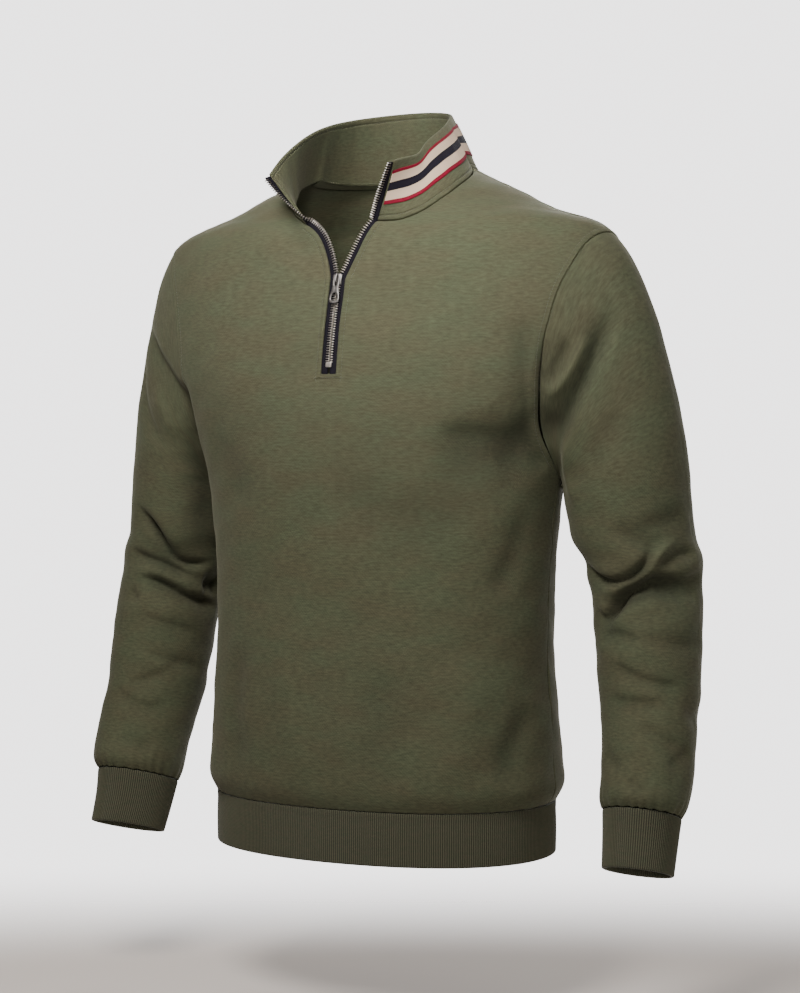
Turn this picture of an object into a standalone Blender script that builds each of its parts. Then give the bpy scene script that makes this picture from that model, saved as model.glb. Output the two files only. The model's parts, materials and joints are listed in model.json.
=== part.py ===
# Half zip sweatshirt on an unseen wearer: front and back of fleece jersey, two set-in sleeves bent
# at the elbow, a stand collar opened at the front with a striped tape round it, ribbed hem band and
# cuffs, and a metal zip. Metres; the wearer faces -Y, +Z is up, X is the wearer's left.
# The origin is the middle of the neck, level with the inner ends of the shoulder seams.
import bpy
import numpy as np
from math import pi, radians

FLEECE_THICKNESS = 0.002
COLLAR_THICKNESS = 0.0035      # two layers of fleece
RIB_THICKNESS = 0.003
STRIPE_THICKNESS = 0.001
ZIP_TAPE_THICKNESS = 0.0012
SEAM_GAP = 0.0003

# The form under the body, a stack of level rings. Half width, depth in front of and behind the
# middle, where the middle lies on Y, how far the back rises, and how square the ring is.
# Columns: height, half_width, front, back, middle_y, rise, square.
FORM = (
    (-0.6215, 0.1765, 0.1210, 0.1190, 0.000, 0.000, 0.030),
    (-0.6070, 0.1840, 0.1270, 0.1250, 0.000, 0.000, 0.030),
    (-0.5900, 0.1838, 0.1285, 0.1255, 0.000, 0.000, 0.030),
    (-0.5500, 0.1812, 0.1280, 0.1200, 0.000, 0.000, 0.030),
    (-0.4900, 0.1770, 0.1250, 0.1110, 0.000, 0.000, 0.030),
    (-0.4300, 0.1770, 0.1210, 0.1050, 0.000, 0.000, 0.030),
    (-0.3700, 0.1805, 0.1190, 0.1060, 0.000, 0.000, 0.030),
    (-0.3080, 0.1885, 0.1210, 0.1130, 0.000, 0.000, 0.030),
    (-0.2620, 0.2050, 0.1220, 0.1210, 0.000, 0.000, 0.025),
    (-0.2150, 0.2290, 0.1190, 0.1250, 0.000, 0.000, 0.020),
    (-0.1650, 0.2460, 0.1120, 0.1250, 0.001, 0.000, 0.010),
    (-0.1120, 0.2520, 0.1010, 0.1200, 0.003, 0.000, 0.010),
    (-0.0720, 0.2405, 0.0925, 0.1130, 0.004, 0.002, 0.000),
    (-0.0500, 0.1930, 0.0850, 0.1075, 0.007, 0.004, 0.000),
    (-0.0250, 0.1385, 0.0690, 0.0915, 0.012, 0.008, 0.000),
    (-0.0080, 0.1010, 0.0440, 0.0725, 0.018, 0.012, 0.000),
    (0.0000, 0.0850, 0.0250, 0.0550, 0.020, 0.013, 0.000),
)
FORM_TABLE = np.array(FORM)
FORM_LEVELS = np.concatenate([
    [0.0],
    np.cumsum(np.hypot(np.diff(FORM_TABLE[:, 0]), np.diff(FORM_TABLE[:, 1]))),
])
SHOULDER_TILT = 0.0030         # the wearer's left shoulder is carried lower, metres per metre
TILT_LEVELS = (0.30, 0.52)     # none below the first level, all of it above the second

# Lines drawn on the form: the turn from the middle line towards the side in degrees, and the
# level, which is the distance up the side outline from the hem seam.
# Columns: turn, level.
FRONT_ARMHOLE = (
    (90.0, 0.3160), (73.5, 0.3469), (64.2, 0.3792), (59.3, 0.4065), (56.8, 0.4280),
    (54.8, 0.4575), (54.8, 0.4802), (56.0, 0.5074), (60.8, 0.5323), (68.8, 0.5527),
    (80.0, 0.5640), (90.0, 0.5656),
)
BACK_ARMHOLE = (
    (90.0, 0.3160), (76.0, 0.3450), (68.0, 0.3760), (63.0, 0.4060), (60.5, 0.4360),
    (59.5, 0.4660), (61.0, 0.4960), (65.0, 0.5230), (72.0, 0.5450), (80.5, 0.5590),
    (90.0, 0.5656),
)
NECK_LEFT_HAND = (             # the wearer's left
    (8.5, 0.5870), (13.8, 0.5875), (17.2, 0.5941), (23.0, 0.6140), (30.2, 0.6389),
    (39.5, 0.6640), (50.3, 0.6880), (70.0, 0.7180), (90.0, 0.7370),
)
NECK_RIGHT_HAND = (            # drawn inwards under the turned-out collar end
    (11.0, 0.5870), (13.5, 0.5975), (20.2, 0.6275), (27.5, 0.6560), (37.0, 0.6850),
    (60.0, 0.7160), (90.0, 0.7370),
)
BACK_NECK = (
    (0.0, 0.7130), (30.0, 0.7170), (60.0, 0.7280), (90.0, 0.7370),
)
ARMPIT_LEVEL = 0.3160

# The grid of half a panel runs from the hem to the shoulder seam. Its inner side is the middle
# line and then the neckline, its outer side is the side seam and then the armhole.
ACROSS = 9                     # columns, the same in front and back so that the seams meet
ALONG = 24                     # rows
SIDE_ROWS = 14                 # rows below the armpit; the rest lie beside the armhole
FRONT_MIDDLE_ROWS = 18         # rows below the neckline
BACK_MIDDLE_ROWS = 20
ROW_BEND = 0.6                 # how much the rows bend on their way to the side
AROUND_SLEEVE = 2 * (ALONG - SIDE_ROWS)

# Rows of the front up its middle line: level, and where the cloth ends beside the zip, measured
# from the middle line on the wearer's right and left.
MIDDLE_COLUMNS = ("level", "right_edge", "left_edge")
FRONT_MIDDLE = (
    (0.0000, 0.0078, 0.0078), (0.0388, 0.0078, 0.0078), (0.0775, 0.0078, 0.0078),
    (0.1163, 0.0078, 0.0078), (0.1550, 0.0078, 0.0078), (0.1938, 0.0078, 0.0078),
    (0.2325, 0.0078, 0.0078), (0.2713, 0.0078, 0.0078), (0.3100, 0.0078, 0.0078),
    (0.3488, 0.0078, 0.0078), (0.3876, 0.0078, 0.0078), (0.4263, 0.0078, 0.0078),
    (0.4470, 0.0078, 0.0078), (0.4670, 0.0078, 0.0078), (0.4860, 0.0078, 0.0078),
    (0.5030, 0.0078, 0.0078), (0.5213, 0.0078, 0.0078), (0.5545, 0.0205, 0.0222),
    (0.5870, 0.0430, 0.0340),
)
ZIP_ROW = 11                   # the slit starts here
SLIDER_ROW = 16                # and parts here

# The upper edge of the collar, from its right-hand front end round the back to its left-hand one:
# the share of the way along, and the point.
# Columns: share, x, y, z.
COLLAR_TOP = (
    (0.000, -0.0790, -0.0905, -0.0090),
    (0.060, -0.0765, -0.0690, 0.0095),
    (0.135, -0.0720, -0.0390, 0.0290),
    (0.225, -0.0685, 0.0000, 0.0460),
    (0.335, -0.0560, 0.0430, 0.0590),
    (0.425, -0.0310, 0.0700, 0.0658),
    (0.510, 0.0040, 0.0815, 0.0680),
    (0.600, 0.0370, 0.0690, 0.0625),
    (0.675, 0.0510, 0.0400, 0.0520),
    (0.745, 0.0570, 0.0160, 0.0415),
    (0.820, 0.0590, -0.0110, 0.0285),
    (0.880, 0.0605, -0.0330, 0.0170),
    (0.930, 0.0625, -0.0540, 0.0050),
    (0.970, 0.0600, -0.0780, -0.0005),
    (1.000, 0.0570, -0.0940, -0.0050),
)
COLLAR_ROWS = (0.0, 0.09, 0.27, 0.56, 0.845, 1.0)     # shares of its height
STRIPE_ROWS = (2, 4)           # the striped tape lies between these rows
STRIPE_END = 0.0050            # and ends this far from the collar's front edges
COLLAR_BOW = 0.0010            # the collar swells by this halfway up
COLLAR_SPREAD = 0.0030         # and its upper edge stands out from the line above by this
COLLAR_CORNER = 0.0008         # its lower front corners are trimmed to clear the zip tapes

# Sections down the left arm: middle, half sizes across the long and the short way, how far the
# long way is turned from straight outwards towards the front in degrees, and how much the section
# rises for each metre forward.
# Columns: height, x, y, long, short, turn, lean.
ARM = (
    (-0.308, 0.2455, 0.0295, 0.0650, 0.0600, 90.0, 0.00),
    (-0.330, 0.2480, 0.0305, 0.0640, 0.0600, 90.0, 0.00),
    (-0.350, 0.2500, 0.0320, 0.0640, 0.0594, 90.0, 0.00),
    (-0.370, 0.2545, 0.0335, 0.0640, 0.0584, 90.0, 0.00),
    (-0.385, 0.2625, 0.0330, 0.0620, 0.0555, 90.0, 0.00),
    (-0.400, 0.2640, 0.0320, 0.0610, 0.0545, 88.0, 0.02),
    (-0.415, 0.2665, 0.0300, 0.0600, 0.0530, 86.0, 0.04),
    (-0.432, 0.2685, 0.0265, 0.0585, 0.0525, 83.0, 0.06),
    (-0.450, 0.2702, 0.0218, 0.0575, 0.0518, 80.0, 0.08),
    (-0.475, 0.2728, 0.0188, 0.0565, 0.0500, 76.0, 0.10),
    (-0.500, 0.2745, 0.0158, 0.0555, 0.0488, 72.0, 0.12),
    (-0.525, 0.2762, 0.0115, 0.0540, 0.0470, 70.0, 0.15),
    (-0.550, 0.2785, 0.0035, 0.0530, 0.0447, 70.0, 0.19),
    (-0.575, 0.2808, -0.0045, 0.0510, 0.0440, 70.0, 0.24),
    (-0.598, 0.2812, -0.0140, 0.0500, 0.0425, 70.0, 0.28),
    (-0.613, 0.2808, -0.0195, 0.0478, 0.0400, 70.0, 0.30),
    (-0.620, 0.2800, -0.0195, 0.0440, 0.0368, 70.0, 0.30),
)
CUFF = (
    (-0.6204, 0.2800, -0.0197, 0.0438, 0.0366, 70.0, 0.30),
    (-0.6400, 0.2805, -0.0250, 0.0410, 0.0345, 70.0, 0.30),
    (-0.6720, 0.2820, -0.0365, 0.0395, 0.0330, 70.0, 0.30),
)
CAP_ROWS = 7                   # rows between the armhole and the first whole section of the arm
CAP_LEAVE = 0.58               # how stiffly the cap leaves the armhole, as a share of its length
CAP_ARRIVE = 0.9               # and how stiffly it joins the arm
CAP_SEAM = 0.45                # share of the way out that follows the seam, the rest the body
CAP_OUT = (0.80, 0.60, -0.35)  # way out of the armhole: sideways, at the front, at the shoulder
CAP_FAR = (0.0, 0.0, 0.10)     # the arm is aimed at from this far above
UNDERARM_TURN = 0.32           # the underarm seam sits this far forward of the inner side, radians
UNDERARM_ENDS = (-0.550, -0.308)     # none of that turn above the first height, all at the second
UNDERARM_DROP = (0.009, 0.005)       # the first two sections dip towards the inner side

# Heights, half widths and depths of the hem band below the hem seam.
HEM = (
    (-0.6218, 0.1765, 0.1210, 0.1190),
    (-0.6300, 0.1757, 0.1205, 0.1185),
    (-0.6727, 0.1760, 0.1210, 0.1190),
)

# Folds pressed into a sleeve: place round the arm (0 outside, 90 front, 180 inside) and height
# at both ends, how wide, how deep (minus stands proud).
# Columns: turn_from, height_from, turn_to, height_to, width, depth.
FOLD_RADIUS = 0.055            # turns a turn round the arm into a length
FOLD_ENDS = 0.35               # share of its depth that a fold keeps at its ends
LEFT_FOLDS = (
    (70.0, -0.345, 20.0, -0.372, 0.020, 0.006),
    (165.0, -0.428, 55.0, -0.402, 0.012, 0.008),
    (55.0, -0.402, -20.0, -0.402, 0.012, 0.006),
    (165.0, -0.395, 95.0, -0.412, 0.012, -0.004),
    (200.0, -0.400, 300.0, -0.392, 0.016, 0.005),
)
RIGHT_FOLDS = (
    (60.0, -0.345, 120.0, -0.395, 0.018, 0.007),
    (20.0, -0.385, 150.0, -0.405, 0.012, 0.007),
    (40.0, -0.402, 160.0, -0.432, 0.012, 0.006),
    (30.0, -0.372, 110.0, -0.395, 0.012, -0.004),
    (200.0, -0.400, 300.0, -0.392, 0.016, 0.005),
)

# The zip's hard parts. Across the chain, down it from where the tapes meet, and out from it.
TAPE_DEPTH = (0.0004, 0.0016)        # the tape's two faces under the face of the cloth
TAPE_CLEAR = 0.0012                  # the open tape starts this far from the cloth's bent edge
TAPE_CORNER = 2.2                    # times as far at the corner under the collar
TAPE_REACH = 0.0072                  # from the cloth to the teeth of the open chain
SLIDER_HALF_WIDTH = 0.0052
SLIDER_TOP = -0.0048
SLIDER_END = 0.0077
SLIDER_TAPER = (0.88, 1.0, 0.80)     # width at the top, at the crown and at the end
SLIDER_CROWN = -0.001
PLATE_INNER = 0.0012                 # the slider's two plates lie this far from the tape's middle
PLATE_OUTER = 0.0024
BRIDGE_HALF_WIDTH = 0.0011
BRIDGE_END = -0.0033
BAIL_HALF_WIDTH = 0.0009
BAIL_POSTS = (-0.0044, -0.0035, 0.0050, 0.0060)
BAIL_HEIGHT = 0.0024                 # clear height under the bail
BAIL_THICKNESS = 0.0010
PULL_AXIS_DOWN = -0.0023             # the bar of the pull tab lies here, midway under the bail
PULL_HALF_THICKNESS = 0.0007
# Columns: down, outer_half, inner_half, and 1 where there is a hole in the middle below this row.
PULL = (
    (-0.0007, 0.0030, 0.0014, 0),
    (0.0007, 0.0037, 0.0014, 1),
    (0.0060, 0.0038, 0.0014, 1),
    (0.0112, 0.0036, 0.0014, 0),
    (0.0140, 0.0036, 0.0014, 0),
    (0.0180, 0.0043, 0.0020, 0),
    (0.0216, 0.0052, 0.0031, 1),
    (0.0240, 0.0055, 0.0034, 1),
    (0.0262, 0.0052, 0.0031, 0),
    (0.0276, 0.0042, 0.0022, 0),
    (0.0283, 0.0028, 0.0014, 0),
)
STOP_FROM_END = 0.0060               # the bottom stop ends this far above the end of the slit
STOP_LENGTH = 0.0052
STOP_HALF_WIDTH = 0.0031
STOP_THICKNESS = 0.0016

OLIVE = (0.108, 0.108, 0.064, 1.0)
DARK_OLIVE = (0.082, 0.080, 0.050, 1.0)
CREAM = (0.62, 0.52, 0.39, 1.0)
NAVY = (0.020, 0.015, 0.024, 1.0)
NICKEL = (0.42, 0.41, 0.40, 1.0)


def table(rows, columns, name):
    return np.array(rows, dtype=float)[:, columns.index(name)]


def spline(knots, values, at):
    # Natural cubic spline through the values, one column or many.
    knots = np.asarray(knots, dtype=float)
    values = np.asarray(values, dtype=float)
    if values.ndim == 1:
        return spline(knots, values[:, None], at)[..., 0]
    count = len(knots)
    steps = np.diff(knots)
    matrix = np.eye(count)
    right = np.zeros_like(values)
    for i in range(1, count - 1):
        matrix[i, i - 1] = steps[i - 1]
        matrix[i, i] = 2.0 * (steps[i - 1] + steps[i])
        matrix[i, i + 1] = steps[i]
        slope_after = (values[i + 1] - values[i]) / steps[i]
        slope_before = (values[i] - values[i - 1]) / steps[i - 1]
        right[i] = 6.0 * (slope_after - slope_before)
    bend = np.linalg.solve(matrix, right)
    at = np.asarray(at, dtype=float)
    i = np.clip(np.searchsorted(knots, at) - 1, 0, count - 2)
    before = (at - knots[i])[..., None]
    after = (knots[i + 1] - at)[..., None]
    step = steps[i][..., None]
    curved = (bend[i] * after ** 3 + bend[i + 1] * before ** 3) / (6.0 * step)
    straight_a = (values[i] / step - bend[i] * step / 6.0) * after
    straight_b = (values[i + 1] / step - bend[i + 1] * step / 6.0) * before
    return curved + straight_a + straight_b


def unit(vectors):
    return vectors / np.maximum(np.linalg.norm(vectors, axis=-1, keepdims=True), 1e-12)


def body_form(turn, level, side):
    # side -1 is the front, +1 the back; turn is in radians from the middle line.
    ring = spline(FORM_LEVELS, FORM_TABLE, level)
    height, half_width, front, back, middle, rise, square = np.moveaxis(ring, -1, 0)
    full = 1.0 + square * np.sin(2.0 * turn) ** 2
    depth = front if side < 0 else back
    x = half_width * np.sin(turn) * full
    y = middle + side * depth * np.cos(turn) * full
    z = height + (rise * np.cos(turn) ** 2 if side > 0 else 0.0)
    return np.stack([x, y, z], axis=-1)


def on_form(line, side, mirror):
    points = body_form(line[..., 0], line[..., 1], side) * np.array([mirror, 1.0, 1.0])
    low, high = TILT_LEVELS
    ramp = np.clip((line[..., 1] - low) / (high - low), 0.0, 1.0)
    points[..., 2] -= SHOULDER_TILT * points[..., 0] * ramp * ramp * (3.0 - 2.0 * ramp)
    return points


def even_line(rows, count, side):
    # A drawn line as (turn, level) pairs evenly spaced over the form.
    rows = np.array(rows, dtype=float)
    rows[:, 0] = np.radians(rows[:, 0])
    share = np.linspace(0.0, 1.0, len(rows))
    fine = spline(share, rows, np.linspace(0.0, 1.0, 200))
    points = body_form(fine[:, 0], fine[:, 1], side)
    walk = np.concatenate([[0.0], np.cumsum(np.linalg.norm(np.diff(points, axis=0), axis=1))])
    even = np.linspace(0.0, walk[-1], count)
    return np.stack([np.interp(even, walk, fine[:, 0]), np.interp(even, walk, fine[:, 1])], axis=-1)


def straight_line(start, end, count):
    share = np.linspace(0.0, 1.0, count)[:, None]
    return np.array(start) * (1.0 - share) + np.array(end) * share


def filled_patch(bottom, top, middle, side):
    # Coons patch between four drawn lines; rows go up, columns go from the middle to the side, and
    # the rows bend so that they reach the side more nearly level.
    s = np.linspace(0.0, 1.0, len(bottom))[None, :, None]
    t = np.linspace(0.0, 1.0, len(middle))[:, None, None]
    bent = s + ROW_BEND * s * (1.0 - s) * np.array([0.0, 1.0])
    across = (1.0 - bent) * middle[:, None, :] + bent * side[:, None, :]
    along = (1.0 - t) * bottom[None, :, :] + t * top[None, :, :]
    corners = (
        (1.0 - s) * (1.0 - t) * bottom[0] + s * (1.0 - t) * bottom[-1]
        + (1.0 - s) * t * top[0] + s * t * top[-1]
    )
    return across + along - corners


def outer_line(armhole, side):
    seam = straight_line((pi / 2, 0.0), (pi / 2, ARMPIT_LEVEL), SIDE_ROWS + 1)
    hole = even_line(armhole, ALONG - SIDE_ROWS + 1, side)
    return np.concatenate([seam, hole[1:]])


def inner_line(middle, neck, side):
    opening = even_line(neck, ALONG - len(middle) + 2, side)
    return np.concatenate([middle, opening[1:]])


def panel(line, side, mirror):
    # Points of half a panel with their outward directions; its seams stop short of the next piece.
    points = on_form(line, side, mirror)
    nudge = 0.0005                    # a small step on the form, radians and metres
    turned = on_form(line + np.array([nudge, 0.0]), side, mirror)
    turned_back = on_form(line - np.array([nudge, 0.0]), side, mirror)
    raised = on_form(line + np.array([0.0, nudge]), side, mirror)
    lowered = on_form(line - np.array([0.0, nudge]), side, mirror)
    normals = unit(np.cross(turned - turned_back, raised - lowered))
    if side * mirror > 0:
        normals = -normals
    inset = 0.55 * SEAM_GAP
    points[:, -1] += unit(points[:, -2] - points[:, -1]) * inset
    points[-1] += unit(points[-2] - points[-1]) * inset
    return points, normals


def half_panel(inner, armhole, side, mirror):
    outer = outer_line(armhole, side)
    hem = straight_line(inner[0], outer[0], ACROSS + 1)
    shoulder = straight_line(inner[-1], outer[-1], ACROSS + 1)
    return panel(filled_patch(hem, shoulder, inner, outer), side, mirror)


def front_half(neck, edge_name, mirror):
    levels = table(FRONT_MIDDLE, MIDDLE_COLUMNS, "level")
    edges = table(FRONT_MIDDLE, MIDDLE_COLUMNS, edge_name)
    half_widths = spline(FORM_LEVELS, FORM_TABLE[:, 1], levels)
    middle = np.stack([np.arcsin(edges / half_widths), levels], axis=-1)
    return half_panel(inner_line(middle, neck, -1), FRONT_ARMHOLE, -1, mirror)


def back_half(mirror):
    middle = straight_line((0.0, 0.0), (0.0, BACK_NECK[0][1]), BACK_MIDDLE_ROWS + 1)
    return half_panel(inner_line(middle, BACK_NECK, 1), BACK_ARMHOLE, 1, mirror)


def grid_quads(numbers):
    # numbers is a grid of vertex numbers; the quads run row by row.
    a = numbers[:-1, :-1].ravel()
    b = numbers[:-1, 1:].ravel()
    c = numbers[1:, 1:].ravel()
    d = numbers[1:, :-1].ravel()
    return np.stack([a, b, c, d], axis=-1)


def vertex_normals(points, quads):
    across = points[quads[:, 2]] - points[quads[:, 0]]
    other = points[quads[:, 3]] - points[quads[:, 1]]
    faces = np.cross(across, other)
    normals = np.zeros_like(points)
    for k in range(4):
        np.add.at(normals, quads[:, k], faces)
    return unit(normals)


def thick_sheet(points, quads, outer, inner, normals=None):
    # A closed wall between two offsets of one sheet, every quad cut along the same diagonal.
    if normals is None:
        normals = vertex_normals(points, quads)
    count = len(points)
    vertices = np.concatenate([points + normals * outer, points + normals * inner])
    tops = np.concatenate([quads[:, [0, 1, 2]], quads[:, [0, 2, 3]]])
    bottoms = tops[:, ::-1] + count
    edges = np.concatenate([quads[:, [0, 1]], quads[:, [1, 2]], quads[:, [2, 3]], quads[:, [3, 0]]])
    keys = np.sort(edges, axis=1)
    _, where, times = np.unique(keys, axis=0, return_inverse=True, return_counts=True)
    rim = edges[times[where.ravel()] == 1]
    a = rim[:, 0]
    b = rim[:, 1]
    walls = np.concatenate([
        np.stack([b, a, a + count], axis=-1),
        np.stack([b, a + count, b + count], axis=-1),
    ])
    return vertices, np.concatenate([tops, bottoms, walls])


def make_material(name, colour, roughness, metallic):
    material = bpy.data.materials.new(name)
    material.use_nodes = True
    shader = material.node_tree.nodes["Principled BSDF"]
    shader.inputs["Base Color"].default_value = colour
    shader.inputs["Roughness"].default_value = roughness
    shader.inputs["Metallic"].default_value = metallic
    material.diffuse_color = colour
    return material


def make_object(name, vertices, faces, colour, roughness, metallic):
    used, numbers = np.unique(faces, return_inverse=True)
    mesh = bpy.data.meshes.new(name)
    corner_lists = numbers.reshape(np.shape(faces)).tolist()
    mesh.from_pydata(np.asarray(vertices)[used].tolist(), [], corner_lists)
    mesh.validate()
    thing = bpy.data.objects.new(name, mesh)
    bpy.context.scene.collection.objects.link(thing)
    mesh.materials.append(make_material(name + "_material", colour, roughness, metallic))
    return thing


def sheet_object(name, points, quads, outer, inner, colour, normals=None):
    used, numbers = np.unique(quads, return_inverse=True)
    quads = numbers.reshape(quads.shape)
    if normals is not None:
        normals = normals[used]
    vertices, faces = thick_sheet(points[used], quads, outer, inner, normals)
    return make_object(name, vertices, faces, colour, 0.9, 0.0)


def box_cells(cuts_a, cuts_b, cuts_c, filled):
    # The skin of the filled cells of a small brick grid.
    shape = (len(cuts_a), len(cuts_b), len(cuts_c))
    points = np.stack(np.meshgrid(cuts_a, cuts_b, cuts_c, indexing="ij"), axis=-1).reshape(-1, 3)
    faces = []
    cells = set(filled)

    def number(i, j, k):
        return (i * shape[1] + j) * shape[2] + k

    around = (
        ((1, 0, 0), ((1, 0, 0), (1, 1, 0), (1, 1, 1), (1, 0, 1))),
        ((-1, 0, 0), ((0, 0, 0), (0, 0, 1), (0, 1, 1), (0, 1, 0))),
        ((0, 1, 0), ((0, 1, 0), (0, 1, 1), (1, 1, 1), (1, 1, 0))),
        ((0, -1, 0), ((0, 0, 0), (1, 0, 0), (1, 0, 1), (0, 0, 1))),
        ((0, 0, 1), ((0, 0, 1), (1, 0, 1), (1, 1, 1), (0, 1, 1))),
        ((0, 0, -1), ((0, 0, 0), (0, 1, 0), (1, 1, 0), (1, 0, 0))),
    )
    for cell in filled:
        for step, corners in around:
            beside = tuple(cell[k] + step[k] for k in range(3))
            if beside in cells:
                continue
            faces.append([number(*(cell[k] + corner[k] for k in range(3))) for corner in corners])
    return points, np.array(faces)


def to_frame(points, origin, across, down, out):
    return origin + points[:, :1] * across + points[:, 1:2] * down + points[:, 2:3] * out


def make_front():
    right, right_out = front_half(NECK_RIGHT_HAND, "right_edge", -1.0)
    left, left_out = front_half(NECK_LEFT_HAND, "left_edge", 1.0)
    rows, columns = right.shape[:2]
    numbers_right = np.arange(rows * columns).reshape(rows, columns)
    numbers_left = numbers_right + rows * columns
    strip = np.stack([numbers_right[: ZIP_ROW + 1, 0], numbers_left[: ZIP_ROW + 1, 0]], axis=-1)
    quads = np.concatenate([
        grid_quads(numbers_right[:, ::-1]),
        grid_quads(numbers_left),
        grid_quads(strip),
    ])
    points = np.concatenate([right.reshape(-1, 3), left.reshape(-1, 3)])
    normals = np.concatenate([right_out.reshape(-1, 3), left_out.reshape(-1, 3)])
    sheet_object("front", points, quads, 0.0, -FLEECE_THICKNESS, OLIVE, normals)
    return right, left, right_out, left_out


def make_back():
    # The two halves share the points of the middle line, up to the neckline.
    right, right_out = back_half(-1.0)
    left, left_out = back_half(1.0)
    rows, columns = right.shape[:2]
    numbers_right = np.arange(rows * columns).reshape(rows, columns)
    numbers_left = numbers_right + rows * columns
    numbers_left[: BACK_MIDDLE_ROWS + 1, 0] = numbers_right[: BACK_MIDDLE_ROWS + 1, 0]
    quads = np.concatenate([grid_quads(numbers_right), grid_quads(numbers_left[:, ::-1])])
    points = np.concatenate([right.reshape(-1, 3), left.reshape(-1, 3)])
    normals = np.concatenate([right_out.reshape(-1, 3), left_out.reshape(-1, 3)])
    sheet_object("back", points, quads, 0.0, -FLEECE_THICKNESS, OLIVE, normals)
    return right, left, right_out, left_out


def oval(section, angles):
    # One section of the arm as points; angle 0 is outside, 90 degrees is the front.
    height, x, y, long_half, short_half, turn, lean = section
    turned = radians(turn)
    around = angles - turned
    along = np.cos(around) * long_half
    across = np.sin(around) * short_half
    px = x + along * np.cos(turned) - across * np.sin(turned)
    py = y - along * np.sin(turned) - across * np.cos(turned)
    return np.stack([px, py, height - lean * (py - y)], axis=-1)


def fold_depth(folds, turns, heights):
    # Troughs along straight lines in (turn, height), each with a rounded valley, fading at its ends.
    total = np.zeros_like(heights)
    arc = FOLD_RADIUS
    for row in folds:
        turn_from, height_from, turn_to, height_to, width, depth = row
        ax = radians(turn_from) * arc
        bx = radians(turn_to) * arc
        gap = (turns * arc - 0.5 * (ax + bx) + pi * arc) % (2.0 * pi * arc) - pi * arc
        px = gap + 0.5 * (ax + bx)
        length2 = (bx - ax) ** 2 + (height_to - height_from) ** 2
        dx = bx - ax
        dz = height_to - height_from
        share = ((px - ax) * dx + (heights - height_from) * dz) / length2
        inside = np.clip(share, 0.0, 1.0)
        away = np.hypot(px - ax - inside * dx, heights - height_from - inside * dz)
        fade = FOLD_ENDS + (1.0 - FOLD_ENDS) * np.sin(pi * inside)
        total += depth * fade * np.exp(-((away / width) ** 2))
    return total


def armhole_ring(front, back):
    # Starts at the shoulder, runs down the front to the armpit and up the back.
    down_front = front[SIDE_ROWS:, -1][::-1]
    up_back = back[SIDE_ROWS:, -1]
    ring = np.concatenate([down_front[:-1], up_back[:-1]])
    ring[0] = 0.5 * (down_front[0] + up_back[-1])
    ring[AROUND_SLEEVE // 2] = 0.5 * (down_front[-1] + up_back[0])
    return ring


def make_sleeve(ring, ring_out, folds, mirror):
    flip = np.array([mirror, 1.0, 1.0])
    ring = ring * flip
    angles = np.arange(AROUND_SLEEVE) * 2.0 * pi / AROUND_SLEEVE
    inner_share = 0.5 * (1.0 - np.cos(angles))
    sections = np.array(ARM)
    low, high = UNDERARM_ENDS
    fade = np.clip((sections[:, 0] - low) / (high - low), 0.0, 1.0)
    tube = np.stack([
        oval(row, angles - UNDERARM_TURN * fade[i] * inner_share) for i, row in enumerate(sections)
    ])
    tube[0, :, 2] += UNDERARM_DROP[0] * np.cos(angles)
    tube[1, :, 2] += UNDERARM_DROP[1] * np.cos(angles)
    first = tube[0]
    downwards = unit(tube[1] - tube[0])
    along = unit(np.roll(ring, -1, axis=0) - np.roll(ring, 1, axis=0))
    outwards = unit(first + np.array(CAP_FAR) - ring)
    leave = unit(outwards - along * np.sum(outwards * along, axis=1, keepdims=True))
    # On the front and back the sleeve leaves in the plane of the body, at the armpit it turns down.
    sideways, forward, downward = CAP_OUT
    flat = np.stack([
        np.full_like(angles, sideways),
        forward * np.sin(angles),
        downward * np.cos(angles / 2) ** 2,
    ], axis=-1)
    leave = unit(CAP_SEAM * leave + (1.0 - CAP_SEAM) * unit(flat))
    reach = np.linalg.norm(first - ring, axis=1, keepdims=True)
    start = ring + leave * SEAM_GAP * 1.3
    rows = []
    for w in np.linspace(0.0, 1.0, CAP_ROWS + 1)[:-1]:
        h00 = 2 * w ** 3 - 3 * w ** 2 + 1
        h10 = w ** 3 - 2 * w ** 2 + w
        h01 = -2 * w ** 3 + 3 * w ** 2
        h11 = w ** 3 - w ** 2
        tangents = h10 * leave * reach * CAP_LEAVE + h11 * downwards * reach * CAP_ARRIVE
        rows.append(h00 * start + h01 * first + tangents)
    points = np.concatenate([np.array(rows), tube])
    middle = points.mean(axis=1, keepdims=True)
    inwards = unit(middle - points)
    turns = np.broadcast_to(angles, points.shape[:2])
    press = fold_depth(folds, turns, points[..., 2])
    press[:2] = 0.0
    press[-2:] = 0.0
    points = points + inwards * press[..., None]
    points = points * flip
    quads = tube_quads(points.shape[0], points.shape[1], mirror)
    normals = vertex_normals(points.reshape(-1, 3), quads)
    normals[:AROUND_SLEEVE] = unit(ring_out)
    return points.reshape(-1, 3), quads, normals


def tube_quads(rows, columns, mirror):
    numbers = np.arange(rows * columns).reshape(rows, columns)
    wrapped = np.concatenate([numbers, numbers[:, :1]], axis=1)
    return grid_quads(wrapped if mirror > 0 else wrapped[:, ::-1])


def make_cuff(mirror):
    angles = np.arange(AROUND_SLEEVE) * 2.0 * pi / AROUND_SLEEVE
    points = np.stack([oval(row, angles) for row in CUFF])
    return points * np.array([mirror, 1.0, 1.0])


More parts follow.
